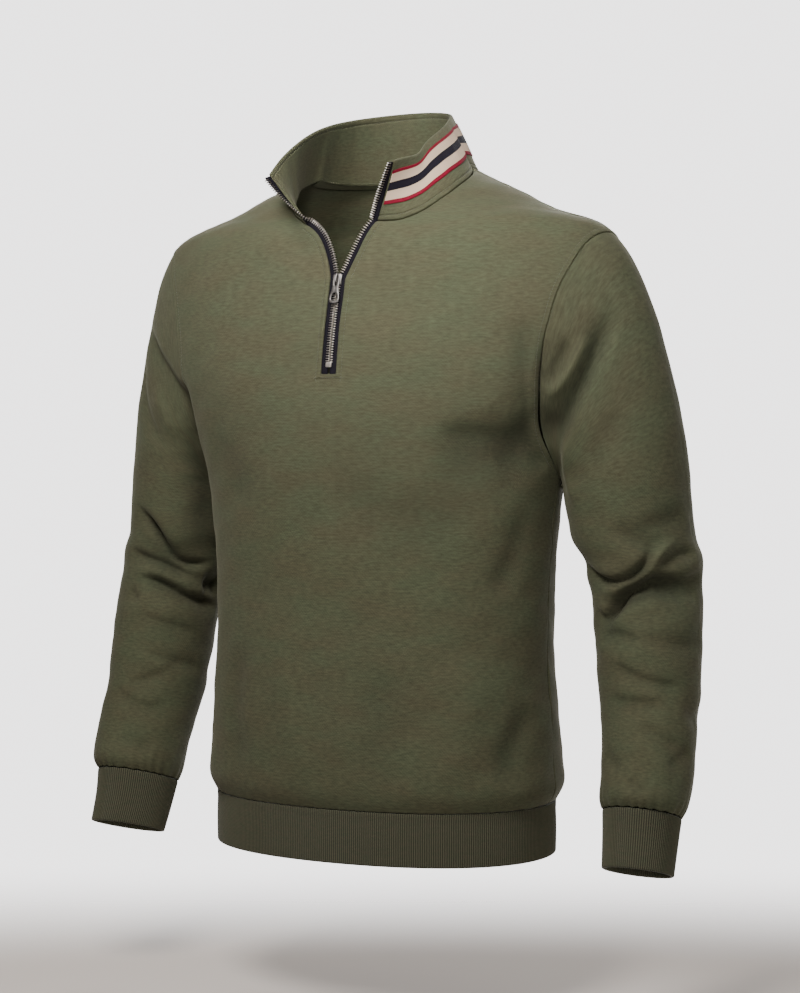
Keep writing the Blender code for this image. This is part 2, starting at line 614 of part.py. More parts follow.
def make_collar(front_right, front_left, back_right, back_left):
    neck_right = front_right[FRONT_MIDDLE_ROWS:, 0]
    neck_left = front_left[FRONT_MIDDLE_ROWS:, 0]
    right_end = neck_right[0] + unit(neck_right[1] - neck_right[0]) * STRIPE_END
    left_end = neck_left[0] + unit(neck_left[1] - neck_left[0]) * STRIPE_END
    bottom = np.concatenate([
        neck_right[:1], right_end[None], neck_right[1:],
        back_right[BACK_MIDDLE_ROWS:-1, 0][::-1], back_left[BACK_MIDDLE_ROWS + 1: -1, 0],
        neck_left[:0:-1], left_end[None], neck_left[:1],
    ])
    walk = np.concatenate([[0.0], np.cumsum(np.linalg.norm(np.diff(bottom, axis=0), axis=1))])
    share = walk / walk[-1]
    rows = np.array(COLLAR_TOP)
    top = spline(rows[:, 0], rows[:, 1:], share)
    up = top - bottom
    along = unit(np.gradient(bottom, axis=0) + np.gradient(top, axis=0))
    outward = unit(np.cross(up, along))
    heights = np.array(COLLAR_ROWS)[:, None, None]
    bow = COLLAR_BOW * 4.0 * heights * (1.0 - heights) + COLLAR_SPREAD * heights
    points = bottom + up * heights + outward * bow
    points[0] = points[0] + unit(up) * SEAM_GAP * 2.4
    points[0, 0] += unit(points[0, 1] - points[0, 0]) * COLLAR_CORNER
    points[0, -1] += unit(points[0, -2] - points[0, -1]) * COLLAR_CORNER
    return points


def make_tape(edge, beside, mirror):
    # Reaches from the cloth to the middle line of the chain; the closed part stops beside it.
    along = unit(np.gradient(edge, axis=0))
    away = unit(edge - beside)
    away = unit(away - along * np.sum(away * along, axis=1, keepdims=True))
    clear = np.full((len(edge), 1), TAPE_CLEAR)
    clear[FRONT_MIDDLE_ROWS - ZIP_ROW] *= TAPE_CORNER
    near = edge + away * clear
    reach = np.full(len(edge), TAPE_REACH)
    closed = SLIDER_ROW - ZIP_ROW + 1
    reach[:closed] = np.abs(edge[:closed, 0]) - 0.5 * SEAM_GAP
    away[:closed] = np.array([-mirror, 0.0, 0.0])
    near[:closed] = edge[:closed] + away[:closed] * SEAM_GAP
    far = edge + away * reach[:, None]
    tape = np.stack([near, far], axis=1)
    tape[0] += along[0] * SEAM_GAP * 1.3
    return tape


def zip_frame(left, row):
    # Across, down the chain and outwards, at one row of the closed zip, in the middle of the tape.
    here = left[row, 0] * np.array([0.0, 1.0, 1.0])
    lower = left[row - 1, 0] * np.array([0.0, 1.0, 1.0])
    across = np.array([-1.0, 0.0, 0.0])
    down = unit(lower - here)
    out = np.cross(across, down)
    return here - out * 0.5 * sum(TAPE_DEPTH), across, down, out


def make_slider():
    # Two plates joined by a bridge between the parting tapes, with a bail over the front plate.
    half = SLIDER_HALF_WIDTH
    arch = PLATE_OUTER + BAIL_HEIGHT
    middle = (-BRIDGE_HALF_WIDTH, -BAIL_HALF_WIDTH, BAIL_HALF_WIDTH, BRIDGE_HALF_WIDTH)
    across = np.array([-half, *middle, half])
    down = np.array([SLIDER_TOP, *BAIL_POSTS[:2], BRIDGE_END, *BAIL_POSTS[2:], SLIDER_END])
    plates = (-PLATE_OUTER, -PLATE_INNER, PLATE_INNER, PLATE_OUTER)
    out = np.array([*plates, arch, arch + BAIL_THICKNESS])
    filled = [(a, b, c) for a in range(5) for b in range(6) for c in (0, 2)]
    filled += [(a, b, 1) for a in (1, 2, 3) for b in (0, 1, 2)]
    filled += [(2, 1, 3), (2, 4, 3)]
    filled += [(2, b, 4) for b in (1, 2, 3, 4)]
    points, faces = box_cells(across, down, out, filled)
    taper = np.interp(points[:, 1], [SLIDER_TOP, SLIDER_CROWN, SLIDER_END], SLIDER_TAPER)
    wide = np.abs(points[:, 0]) > BRIDGE_HALF_WIDTH * 1.01
    points[:, 0] *= np.where(wide, taper, 1.0)
    return points, faces


def make_pull():
    # A flat tab hanging from its bar: two legs beside the bail, a waist, and a wide end with a hole.
    rows = np.array(PULL)
    half = PULL_HALF_THICKNESS
    filled = []
    for b in range(len(rows) - 1):
        filled += [(0, b, 0), (2, b, 0)]
        if rows[b, 3] == 0:
            filled.append((1, b, 0))
    # Columns are numbered -2, -1, 1 and 2 first, and then set to each row's own half widths.
    points, faces = box_cells((-2.0, -1.0, 1.0, 2.0), rows[:, 0], (-half, half), filled)
    row = np.searchsorted(rows[:, 0], points[:, 1] - 1e-9)
    wide = np.where(np.abs(points[:, 0]) > 1.5, rows[row, 1], rows[row, 2])
    points[:, 0] = np.sign(points[:, 0]) * wide
    return points, faces


def make_stop():
    low = 0.5 * (TAPE_DEPTH[1] - TAPE_DEPTH[0]) + SEAM_GAP
    return box_cells(
        (-STOP_HALF_WIDTH, STOP_HALF_WIDTH),
        (0.0, STOP_LENGTH),
        (low, low + STOP_THICKNESS),
        [(0, 0, 0)],
    )


def quad_triangles(faces):
    return np.concatenate([faces[:, [0, 1, 2]], faces[:, [0, 2, 3]]])


def hem_ring(front, back):
    # The hem band follows the lower edge of the body, column for column.
    turns_front = np.arctan2(np.abs(front[0, :, 0]) / FORM[0][1], -front[0, :, 1] / FORM[0][2])
    turns_back = np.arctan2(np.abs(back[0, :, 0]) / FORM[0][1], back[0, :, 1] / FORM[0][3])
    front_full = 1.0 + FORM[0][6] * np.sin(2.0 * turns_front) ** 2
    back_full = 1.0 + FORM[0][6] * np.sin(2.0 * turns_back) ** 2
    turned_over = np.array([-1.0, 1.0, 1.0])
    rows = []
    for height, half_width, front_depth, back_depth in HEM:
        forward = np.stack([
            half_width * np.sin(turns_front) * front_full,
            -front_depth * np.cos(turns_front) * front_full,
            np.full_like(turns_front, height),
        ], axis=-1)
        rear = np.stack([
            half_width * np.sin(turns_back) * back_full,
            back_depth * np.cos(turns_back) * back_full,
            np.full_like(turns_back, height),
        ], axis=-1)
        rows.append(np.concatenate([
            forward[:-1], rear[:0:-1], rear[:-1] * turned_over, forward[:0:-1] * turned_over,
        ]))
    return np.array(rows)


def main():
    for old in list(bpy.data.objects):
        bpy.data.objects.remove(old, do_unlink=True)

    right, left, right_out, left_out = make_front()
    back_right, back_left, back_right_out, back_left_out = make_back()
    wall = -FLEECE_THICKNESS

    for mirror, name, front_side, front_out, back_side, back_out, folds in (
        (1.0, "left", left, left_out, back_left, back_left_out, LEFT_FOLDS),
        (-1.0, "right", right, right_out, back_right, back_right_out, RIGHT_FOLDS),
    ):
        ring = armhole_ring(front_side, back_side)
        ring_out = armhole_ring(front_out, back_out)
        points, quads, normals = make_sleeve(ring, ring_out, folds, mirror)
        sheet_object("sleeve_" + name, points, quads, 0.0, wall, OLIVE, normals)
        cuff = make_cuff(mirror)
        quads = tube_quads(cuff.shape[0], cuff.shape[1], mirror)
        sheet_object("cuff_" + name, cuff.reshape(-1, 3), quads, 0.0, -RIB_THICKNESS, DARK_OLIVE)

    hem = hem_ring(left, back_left)
    quads = tube_quads(hem.shape[0], hem.shape[1], 1.0)
    sheet_object("hem_band", hem.reshape(-1, 3), quads, 0.0, -RIB_THICKNESS, DARK_OLIVE)

    collar = make_collar(right, left, back_right, back_left)
    numbers = np.arange(collar.shape[0] * collar.shape[1]).reshape(collar.shape[:2])
    quads = grid_quads(numbers[:, ::-1])
    sheet_object("collar", collar.reshape(-1, 3), quads, 0.0, -COLLAR_THICKNESS, OLIVE)

    stripe = collar[STRIPE_ROWS[0]: STRIPE_ROWS[1] + 1, 1:-1]
    numbers = np.arange(stripe.shape[0] * stripe.shape[1]).reshape(stripe.shape[:2])
    quads = grid_quads(numbers[:, ::-1])
    outer = SEAM_GAP + STRIPE_THICKNESS
    sheet_object("collar_tape", stripe.reshape(-1, 3), quads, outer, SEAM_GAP, CREAM)

    for mirror, name, side, column, beside in (
        (1.0, "left", left, collar[:, -1], collar[:, -2]),
        (-1.0, "right", right, collar[:, 0], collar[:, 1]),
    ):
        edge = np.concatenate([side[ZIP_ROW: FRONT_MIDDLE_ROWS + 1, 0], column[1:]])
        next_to = np.concatenate([side[ZIP_ROW: FRONT_MIDDLE_ROWS + 1, 1], beside[1:]])
        tape = make_tape(edge, next_to, mirror)
        numbers = np.arange(tape.shape[0] * 2).reshape(-1, 2)
        quads = grid_quads(numbers[:, ::-1] if mirror > 0 else numbers)
        outer, inner = TAPE_DEPTH
        sheet_object("zip_tape_" + name, tape.reshape(-1, 3), quads, -outer, -inner, NAVY)

    origin, across, down, out = zip_frame(left, SLIDER_ROW)
    points, faces = make_slider()
    world = to_frame(points, origin, across, down, out)
    make_object("zip_slider", world, quad_triangles(faces), NICKEL, 0.35, 1.0)

    axis_out = PLATE_OUTER + 0.5 * BAIL_HEIGHT
    axis = origin + down * PULL_AXIS_DOWN + out * axis_out
    points, faces = make_pull()
    local = to_frame(points, np.zeros(3), across, down, out)
    pull = make_object("zip_pull", local, quad_triangles(faces), NICKEL, 0.35, 1.0)
    pull.location = axis.tolist()

    _, across, down, out = zip_frame(left, ZIP_ROW + 1)
    end = left[ZIP_ROW, 0] * np.array([0.0, 1.0, 1.0]) - out * 0.5 * sum(TAPE_DEPTH)
    points, faces = make_stop()
    points = to_frame(points, end - down * (STOP_FROM_END + STOP_LENGTH), across, down, out)
    make_object("zip_bottom_stop", points, quad_triangles(faces), NICKEL, 0.4, 1.0)


main()
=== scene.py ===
import json
import math
import bpy
import numpy as np
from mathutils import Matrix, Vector

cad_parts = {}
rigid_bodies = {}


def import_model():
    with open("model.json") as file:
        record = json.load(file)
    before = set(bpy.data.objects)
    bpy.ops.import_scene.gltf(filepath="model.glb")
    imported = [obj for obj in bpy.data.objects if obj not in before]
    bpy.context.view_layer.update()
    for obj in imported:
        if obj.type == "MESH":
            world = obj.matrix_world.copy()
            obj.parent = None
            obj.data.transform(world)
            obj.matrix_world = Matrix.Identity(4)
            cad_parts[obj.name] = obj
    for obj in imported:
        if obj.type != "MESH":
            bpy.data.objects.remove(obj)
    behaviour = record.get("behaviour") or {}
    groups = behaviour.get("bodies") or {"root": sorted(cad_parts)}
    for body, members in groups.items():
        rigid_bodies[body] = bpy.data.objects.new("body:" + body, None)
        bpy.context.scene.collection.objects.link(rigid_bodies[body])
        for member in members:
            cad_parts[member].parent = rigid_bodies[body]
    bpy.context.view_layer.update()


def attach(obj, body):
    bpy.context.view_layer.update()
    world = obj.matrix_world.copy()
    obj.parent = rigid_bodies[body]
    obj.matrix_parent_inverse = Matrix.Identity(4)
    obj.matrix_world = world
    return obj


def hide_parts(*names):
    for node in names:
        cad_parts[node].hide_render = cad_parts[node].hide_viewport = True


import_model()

# Half zip sweatshirt in olive fleece, shown as worn on an unseen wearer. Metres; the front
# faces -Y, +X is the wearer's left. Turn is the angle round the body from its middle line,
# level the length up its side outline from the hem seam, share a part of a whole from 0 to 1.


def linearColour(hexColour):
    # sRGB hex to linear: c/12.92 below 0.04045, else ((c+0.055)/1.055)^2.4
    raw = np.array([int(hexColour[i:i + 2], 16) for i in (1, 3, 5)]) / 255.0
    flat = np.where(raw <= 0.04045, raw / 12.92, ((raw + 0.055) / 1.055) ** 2.4)
    return (*flat.tolist(), 1.0)


def unit(vectors):
    # every vector over its own length
    return vectors / np.maximum(np.linalg.norm(vectors, axis=-1, keepdims=True), 1e-12)


def square(vectors, to):
    # a unit vector with its part along another taken out: v - t (v . t)
    return unit(vectors - to * np.sum(vectors * to, axis=-1, keepdims=True))


def eased(share):
    # 0 to 1 with level ends: 3s^2 - 2s^3
    share = np.clip(share, 0.0, 1.0)
    return share * share * (3.0 - 2.0 * share)


def squared(value, power):
    # sign(v) |v|^power: with a power under one, rounds turn into squares with soft corners
    return np.sign(value) * np.abs(value) ** power


def quarter(share):
    # how far a quarter round has still to fall: 1 - sqrt(1 - (1 - s)^2)
    return 1.0 - np.sqrt(np.clip(1.0 - np.clip(1.0 - share, 0.0, 1.0) ** 2, 0.0, 1.0))


def ridge(away, width):
    # a bell across a line: exp(-(away / width)^2)
    return np.exp(-(away / width) ** 2)


def circle(count):
    # angles spread evenly round a full turn
    return np.arange(count) * math.tau / count


def stacked(*columns):
    # values of any shape, spread to one grid, as the columns of points
    return np.stack(np.broadcast_arrays(*columns), axis=-1)


def smoothThrough(knots, values, at):
    # natural cubic spline: the second derivative runs straight between the knots, and a
    # tridiagonal solve makes the slopes meet
    knots, values, at = (np.asarray(given, dtype=float) for given in (knots, values, at))
    shape = values.shape[1:]
    values = values.reshape(len(knots), -1)
    step = np.diff(knots)
    inner = np.arange(1, len(knots) - 1)
    matrix = np.eye(len(knots))
    matrix[inner, inner - 1] = step[:-1]
    matrix[inner, inner] = 2.0 * (step[:-1] + step[1:])
    matrix[inner, inner + 1] = step[1:]
    right = np.zeros_like(values)
    right[1:-1] = 6.0 * np.diff(np.diff(values, axis=0) / step[:, None], axis=0)
    bend = np.linalg.solve(matrix, right)
    i = np.clip(np.searchsorted(knots, at) - 1, 0, len(knots) - 2)
    past, left, wide = ((at - knots[i])[..., None], (knots[i + 1] - at)[..., None],
                        step[i][..., None])
    curved = (bend[i] * left ** 3 + bend[i + 1] * past ** 3) / (6.0 * wide)
    lower = (values[i] / wide - bend[i] * wide / 6.0) * left
    upper = (values[i + 1] / wide - bend[i + 1] * wide / 6.0) * past
    return (curved + lower + upper).reshape(at.shape + shape)


def walked(points):
    # distance along a line of points, from its first
    return np.concatenate([[0.0], np.cumsum(np.linalg.norm(np.diff(points, axis=0), axis=-1))])


def readAlong(points, at, values=None):
    # a line of points, or values kept beside it, read at given distances along the line
    walk = walked(points)
    values = points if values is None else values
    return np.stack([np.interp(at, walk, column) for column in values.T], axis=-1)


def distanceTo(points, line):
    # shortest distance from each point to a line and how far along the line it is met: the
    # point is dropped on every straight bit in turn, and the nearest bit is kept
    best, along = np.full(points.shape[:-1], 9.0), np.zeros(points.shape[:-1])
    for start, end, walk in zip(line, line[1:], walked(line)):
        bit = end - start
        size = max(float(bit @ bit), 1e-14)
        share = np.clip((points - start) @ bit / size, 0.0, 1.0)
        away = np.linalg.norm(points - start - share[..., None] * bit, axis=-1)
        along = np.where(away < best, walk + share * math.sqrt(size), along)
        best = np.minimum(away, best)
    return best, along


def gridNormals(points, wrap=False, turned=False):
    # cross product of the differences across and along the grid
    if wrap:
        around = np.roll(points, -1, axis=1) - np.roll(points, 1, axis=1)
    else:
        around = np.gradient(points, axis=1)
    normals = unit(np.cross(around, np.gradient(points, axis=0)))
    return -normals if turned else normals


def gridNumbers(points, wrap=False, start=0):
    # point numbers of a grid, the first column once more at the end where it wraps round
    numbers = np.arange(points.shape[0] * points.shape[1]).reshape(points.shape[:2]) + start
    return np.concatenate([numbers, numbers[:, :1]], axis=1) if wrap else numbers


def gridQuads(numbers, turned=False):
    # the four corners of every cell
    a, b = numbers[:-1, :-1].ravel(), numbers[:-1, 1:].ravel()
    c, d = numbers[1:, 1:].ravel(), numbers[1:, :-1].ravel()
    return np.stack([a, d, c, b] if turned else [a, b, c, d], axis=-1)


def outwardQuads(points, quads):
    # turned over where the closed shape's volume, a sum of cones to its faces, comes out negative
    a, b, c, d = np.moveaxis((points - points.mean(axis=0))[quads], 1, 0)
    volume = np.sum(a * np.cross(b, c)) + np.sum(a * np.cross(c, d))
    return quads if volume > 0.0 else quads[:, ::-1]


def closedShape(points, pinch=False):
    # a grid that wraps round, with its ends pinched shut where asked, as points and quads
    if pinch:
        first, last = (np.repeat(end.mean(axis=1, keepdims=True), points.shape[1], axis=1)
                       for end in (points[:1], points[-1:]))
        points = np.concatenate([first, points, last])
    flat = points.reshape(-1, 3)
    return flat, outwardQuads(flat, gridQuads(gridNumbers(points, wrap=True)))


def joined(parts):
    # many shapes, each as points and quads, in one
    starts = np.cumsum([0] + [len(points) for points, quads in parts])
    return (np.concatenate([points for points, quads in parts]),
            np.concatenate([quads + start for (points, quads), start in zip(parts, starts)]))


def seamSteps(length, count, close):
    # shares of a length: fine steps close to both ends, even ones between
    near = np.array(close) / length
    middle = np.linspace(near[-1], 1.0 - near[-1], count)
    return np.concatenate([[0.0], near[:-1], middle, 1.0 - near[-2::-1], [1.0]])


def makePiece(name, points, quads, material, slot, uv=None, stands=None, body="garment",
              folds=None, wall=0.0):
    # one mesh from whole arrays, its unused points dropped; uv is per point, in metres of cloth,
    # and a wall of cloth grows inwards from its face
    points = np.asarray(points, dtype=np.float32).reshape(-1, 3)
    used, quads = np.unique(np.asarray(quads), return_inverse=True)
    quads = quads.reshape(-1, 4).astype(np.int32)
    mesh = bpy.data.meshes.new(name)
    mesh.vertices.add(len(used))
    mesh.vertices.foreach_set("co", points[used].ravel())
    mesh.loops.add(quads.size)
    mesh.loops.foreach_set("vertex_index", quads.ravel())
    mesh.polygons.add(len(quads))
    mesh.polygons.foreach_set("loop_start", np.arange(0, quads.size, 4, dtype=np.int32))
    mesh.update(calc_edges=True)
    if uv is not None:
        uv = np.asarray(uv, dtype=np.float32).reshape(-1, 2)[used]
        mesh.uv_layers.new(name="cloth").data.foreach_set("uv", uv[quads.ravel()].ravel())
    # folds: a painted shade per point, which darkens the colour in crease troughs
    if folds is not None:
        drawn = mesh.attributes.new("folds", "FLOAT", "POINT")
        drawn.data.foreach_set("value", np.asarray(folds, dtype=np.float32).ravel()[used])
    mesh.polygons.foreach_set("use_smooth", np.full(len(quads), True))
    mesh.materials.append(material)
    piece = bpy.data.objects.new(name, mesh)
    bpy.context.scene.collection.objects.link(piece)
    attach(piece, body)
    if stands:
        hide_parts(stands)
    if wall:
        cloth = piece.modifiers.new("wall", "SOLIDIFY")
        cloth.thickness, cloth.offset = wall, -1.0
    return piece


def blocksAlong(shape, shapeQuads, centres, axes):
    # one small shape laid at many places: centre + a*x + b*y + c*z for every point of the shape
    laid = centres[:, None, :] + sum(
        shape[None, :, k, None] * axes[k][:, None, :] for k in range(3))
    starts = np.arange(len(centres)) * len(shape)
    laid, quads = laid.reshape(-1, 3), shapeQuads[None] + starts[:, None, None]
    return laid, outwardQuads(laid, quads.reshape(-1, 4))


def roundedBlock(half, roundness, around, rings, taper=0.0):
    # superellipsoid: a ball whose cosines and sines are squared up; taper narrows it towards +x
    theta = circle(around)
    phi = np.linspace(-0.5 * math.pi, 0.5 * math.pi, rings)[:, None]
    x = squared(np.cos(phi), roundness) * squared(np.cos(theta), roundness)
    y = squared(np.cos(phi), roundness) * squared(np.sin(theta), roundness)
    z = squared(np.sin(phi), roundness) * np.ones_like(theta)
    return closedShape(stacked(x, y * (1.0 - taper * 0.5 * (x + 1.0)), z) * np.array(half))


def addNode(tree, kind, inputs={}, **settings):
    # one shader node with its settings; each input is another node's output, a constant or a
    # hex colour; gives back the node's first live output
    node = tree.nodes.new("ShaderNode" + kind)
    for key, value in settings.items():
        setattr(node, key, value)
    for key, value in inputs.items():
        if isinstance(value, bpy.types.NodeSocket):
            tree.links.new(value, node.inputs[key])
        else:
            node.inputs[key].default_value = (
                linearColour(value) if isinstance(value, str) else value)
    return next((output for output in node.outputs if output.enabled), None)


def makeMaterial(name, pattern, look, roughness, **plain):
    # one shader that takes what the pattern works out, a bump where the look has one as
    # (strength, metres), and the plain values
    material = bpy.data.materials.new(name)
    material.use_nodes = True
    tree = material.node_tree
    tree.nodes.clear()
    inputs = {key.replace("_", " "): value for key, value in plain.items()}
    inputs.update(pattern(tree, look), Roughness=roughness)
    if "bump" in look:
        inputs["Normal"] = addNode(tree, "Bump", {
            "Height": inputs.pop("Height"), "Strength": look["bump"][0],
            "Distance": look["bump"][1]})
    addNode(tree, "OutputMaterial", {0: addNode(tree, "BsdfPrincipled", inputs)})
    return material


def speckle(tree, cloth, size, detail, roughness=0.5):
    # noise with spots of the given size across and along the cloth
    placed = addNode(tree, "Mapping", {"Vector": cloth, "Scale": (1 / size[0], 1 / size[1], 1.0)})
    return addNode(tree, "TexNoise", {
        "Vector": placed, "Scale": 1.0, "Detail": detail, "Roughness": roughness})


def phases(tree, cloth, across, along):
    # 2 pi * metres / pitch, across and along the cloth
    placed = addNode(tree, "Mapping", {
        "Vector": cloth, "Scale": (math.tau / across, math.tau / along, 1.0)})
    return addNode(tree, "SeparateXYZ", {0: placed}).node.outputs


fleeceLook = {
    "green": "#3B3E2C", "brown": "#3D3B2A",   # the two yarns, spun together unevenly
    "fleck": "#211E15", "flecks": (0.0042, 0.0018),
    "streak": (0.0065, 0.0020),   # a heathered yarn shows for 6 mm, about two courses high
    "blot": (0.060, 0.034),
    "nap": (0.0022, 0.0016),
    "wale": 0.0013,               # stitch pitch, drawn twice as coarse as the real so that it shows
    "blotRange": {"From Min": 0.36, "From Max": 0.64},
    "streakRange": {"From Min": 0.3, "From Max": 0.7, "To Min": 0.76, "To Max": 1.24},
    "fleckRange": {"From Min": 0.66, "From Max": 0.80, "To Max": 0.55},
    "rough": 0.62, "hill": 0.20, "bump": (0.3, 0.0006),
    # painted shade: the fleece colour in the troughs of deep creases is darkened by up to this share
    "folds": 0.45,                # the bottom of a deep fold is this much darker
}


def marlFleece(tree, look):
    # cotton-polyester sweatshirt fleece: knitted from fibres dyed in two shades, so each course
    # of stitches shows faint streaks, on a matt face with a soft bloom of loose fibre
    cloth = addNode(tree, "UVMap", uv_map="cloth")
    streak, blot, flecks, nap = (
        speckle(tree, cloth, look[part], detail, look["rough"])
        for part, detail in (("streak", 3.0), ("blot", 3.0), ("flecks", 2.0), ("nap", 2.0)))
    share = addNode(tree, "MapRange", {"Value": blot, **look["blotRange"]})
    yarns = addNode(tree, "Mix", {0: share, 6: look["green"], 7: look["brown"]}, data_type="RGBA")
    shade = addNode(tree, "MapRange", {"Value": streak, **look["streakRange"]})
    shaded = addNode(tree, "VectorMath", {0: yarns, "Scale": shade}, operation="SCALE")
    seldom = addNode(tree, "MapRange", {"Value": flecks, **look["fleckRange"]})
    colour = addNode(tree, "Mix", {0: seldom, 6: shaded, 7: look["fleck"]}, data_type="RGBA")
    # painted shade: the per-point folds attribute darkens the colour in crease troughs
    folds = addNode(tree, "Attribute", attribute_name="folds").node.outputs["Fac"]
    dim = addNode(tree, "Math", {0: folds, 1: -look["folds"], 2: 1.0}, operation="MULTIPLY_ADD")
    # stitches: small hills where two sets of waves cross, with the nap over them
    sines = [addNode(tree, "Math", {0: wave}, operation="SINE")
             for wave in phases(tree, cloth, 2.0 * look["wale"], 2.5 * look["wale"])[:2]]
    hills = addNode(tree, "Math", {0: sines[0], 1: sines[1]}, operation="MULTIPLY")
    height = addNode(tree, "Math", {0: hills, 1: look["hill"], 2: nap}, operation="MULTIPLY_ADD")
    return {"Height": height, "Base Color": addNode(
        tree, "VectorMath", {0: colour, "Scale": dim}, operation="SCALE")}


ribLook = {
    "green": "#3B3C2C", "brown": "#403D2E", "pitch": 0.0021, "course": 0.0013,
    "streak": (0.0120, 0.0030), "yarnRange": {"From Min": 0.35, "From Max": 0.65},
    # painted shade: the colour darkens in the rib valleys
    "valleyShadeRange": {"From Min": -1.0, "To Min": 0.35, "To Max": 1.2},    # valley to crest
    "bump": (0.25, 0.0003),
}


def ribKnit(tree, look):
    # one-by-one rib of the same yarn with a little elastane: the ribs are in the mesh, and their
    # valleys are darkened in the colour as painted shade; the bump here is the courses across them
    cloth = addNode(tree, "UVMap", uv_map="cloth")
    yarn = speckle(tree, cloth, look["streak"], 3.0)
    share = addNode(tree, "MapRange", {"Value": yarn, **look["yarnRange"]})
    face = addNode(tree, "Mix", {0: share, 6: look["green"], 7: look["brown"]}, data_type="RGBA")
    across, along, _ = phases(tree, cloth, look["pitch"], look["course"])
    ribs = addNode(tree, "Math", {0: across}, operation="COSINE")
    shade = addNode(tree, "MapRange", {"Value": ribs, **look["valleyShadeRange"]})
    courses = addNode(tree, "Math", {0: along}, operation="SINE")
    return {"Height": courses, "Base Color": addNode(
        tree, "VectorMath", {0: face, "Scale": shade}, operation="SCALE")}


stripeLook = {
    # lower edge of each stripe as a share of the tape's width, from the bottom up
    "stripes": ((0.0, "#65081D"), (0.120, "#A8937E"), (0.401, "#110D16"), (0.650, "#A8937E"),
                (0.906, "#65081D")),
    "width": 0.0353,
    "twill": 0.0011,              # one rib of the weave, drawn coarse enough to show
    "twillRange": {"From Min": -1.0, "To Min": 0.86, "To Max": 1.04}, "bump": (0.3, 0.0003),
}


def stripedTape(tree, look):
    # jacquard-woven polyester tape: fine crosswise ribs, colours that meet on a sharp line,
    # a slightly smoother face than the cotton round it
    split = addNode(tree, "SeparateXYZ", {0: addNode(tree, "UVMap", uv_map="cloth")}).node.outputs
    share = addNode(tree, "Math", {0: split[1], 1: 1.0 / look["width"]}, operation="MULTIPLY")
    ramp = addNode(tree, "ValToRGB", {"Fac": share})
    ramp.node.color_ramp.interpolation = "CONSTANT"
    ends = ramp.node.color_ramp.elements
    (_, first), *others, (position, last) = look["stripes"]
    ends[1].position, ends[1].color, ends[0].color = position, linearColour(last), linearColour(first)
    for position, colour in others:
        ends.new(position).color = linearColour(colour)
    phase = addNode(tree, "Math", {0: split[0], 1: math.tau / look["twill"]},
                    operation="MULTIPLY")
    ribs = addNode(tree, "Math", {0: phase}, operation="SINE")
    shade = addNode(tree, "MapRange", {"Value": ribs, **look["twillRange"]})
    return {"Height": ribs, "Base Color": addNode(
        tree, "VectorMath", {0: ramp, "Scale": shade}, operation="SCALE")}


zipTapeLook = {"dark": "#070509", "pale": "#110D15", "turns": 0.003, "pitch": 0.0011,
               "bump": (0.4, 0.0003)}


def wovenZipTape(tree, look):
    # polyester zip tape in a herringbone weave: slanting lines that turn over every few mm
    split = addNode(tree, "SeparateXYZ", {0: addNode(tree, "UVMap", uv_map="cloth")}).node.outputs
    fold = addNode(tree, "Math", {0: split[0], 1: look["turns"]}, operation="PINGPONG")
    slant = addNode(tree, "Math", {0: fold, 1: split[1]}, operation="ADD")
    phase = addNode(tree, "Math", {0: slant, 1: math.tau / look["pitch"]},
                    operation="MULTIPLY")
    weave = addNode(tree, "Math", {0: phase}, operation="SINE")
    share = addNode(tree, "MapRange", {"Value": weave, "From Min": -1.0})
    return {"Height": weave, "Base Color": addNode(
        tree, "Mix", {0: share, 6: look["dark"], 7: look["pale"]}, data_type="RGBA")}


def cloudy(tree, look):
    # two shades in a fine noise, and its height where the look has a bump
    cloud = addNode(tree, "TexNoise", {
        "Vector": addNode(tree, "TexCoord").node.outputs["Object"], "Scale": look["scale"],
        "Detail": look["detail"]})
    colour = addNode(tree, "Mix", {0: cloud, 6: look["dark"], 7: look["pale"]}, data_type="RGBA")
    return {"Base Color": colour, **({"Height": cloud} if "bump" in look else {})}


# the zip's metal is zinc or brass with a thin nickel plate, tumbled: grey-beige with a soft
# shine, darker where the antique finish was left on
toothLook = {"dark": "#847C73", "pale": "#CBC2B6", "scale": 420.0, "detail": 3.0,
             "bump": (0.15, 0.0002)}
sliderMetalLook = {**toothLook, "dark": "#474441", "pale": "#7B7672"}
# polyester core-spun sewing thread: a matt strand with its twist showing as short slants
threadLook = {"dark": "#262619", "pale": "#3B3A2A", "scale": 900.0, "detail": 2.0}
fleece = makeMaterial(
    "olive_marl_fleece", marlFleece, fleeceLook, 0.92, Specular_IOR_Level=0.2, Sheen_Weight=0.22,
    Sheen_Roughness=0.45, Sheen_Tint="#8F8C78")
rib = makeMaterial("olive_rib_knit", ribKnit, ribLook, 0.9, Specular_IOR_Level=0.2,
                   Sheen_Weight=0.12, Sheen_Roughness=0.45)
stripes = makeMaterial("striped_jacquard_tape", stripedTape, stripeLook, 0.85,
                       Specular_IOR_Level=0.15)
zipCloth = makeMaterial("navy_zip_tape", wovenZipTape, zipTapeLook, 0.8, Specular_IOR_Level=0.12)
toothMetal = makeMaterial("nickel_plated_teeth", cloudy, toothLook, 0.38, Metallic=1.0)
sliderMetal = makeMaterial("antique_nickel_casting", cloudy, sliderMetalLook, 0.36, Metallic=1.0)
thread = makeMaterial("olive_sewing_thread", cloudy, threadLook, 0.75, Specular_IOR_Level=0.3,
                      Sheen_Weight=0.2)
print("materials made")

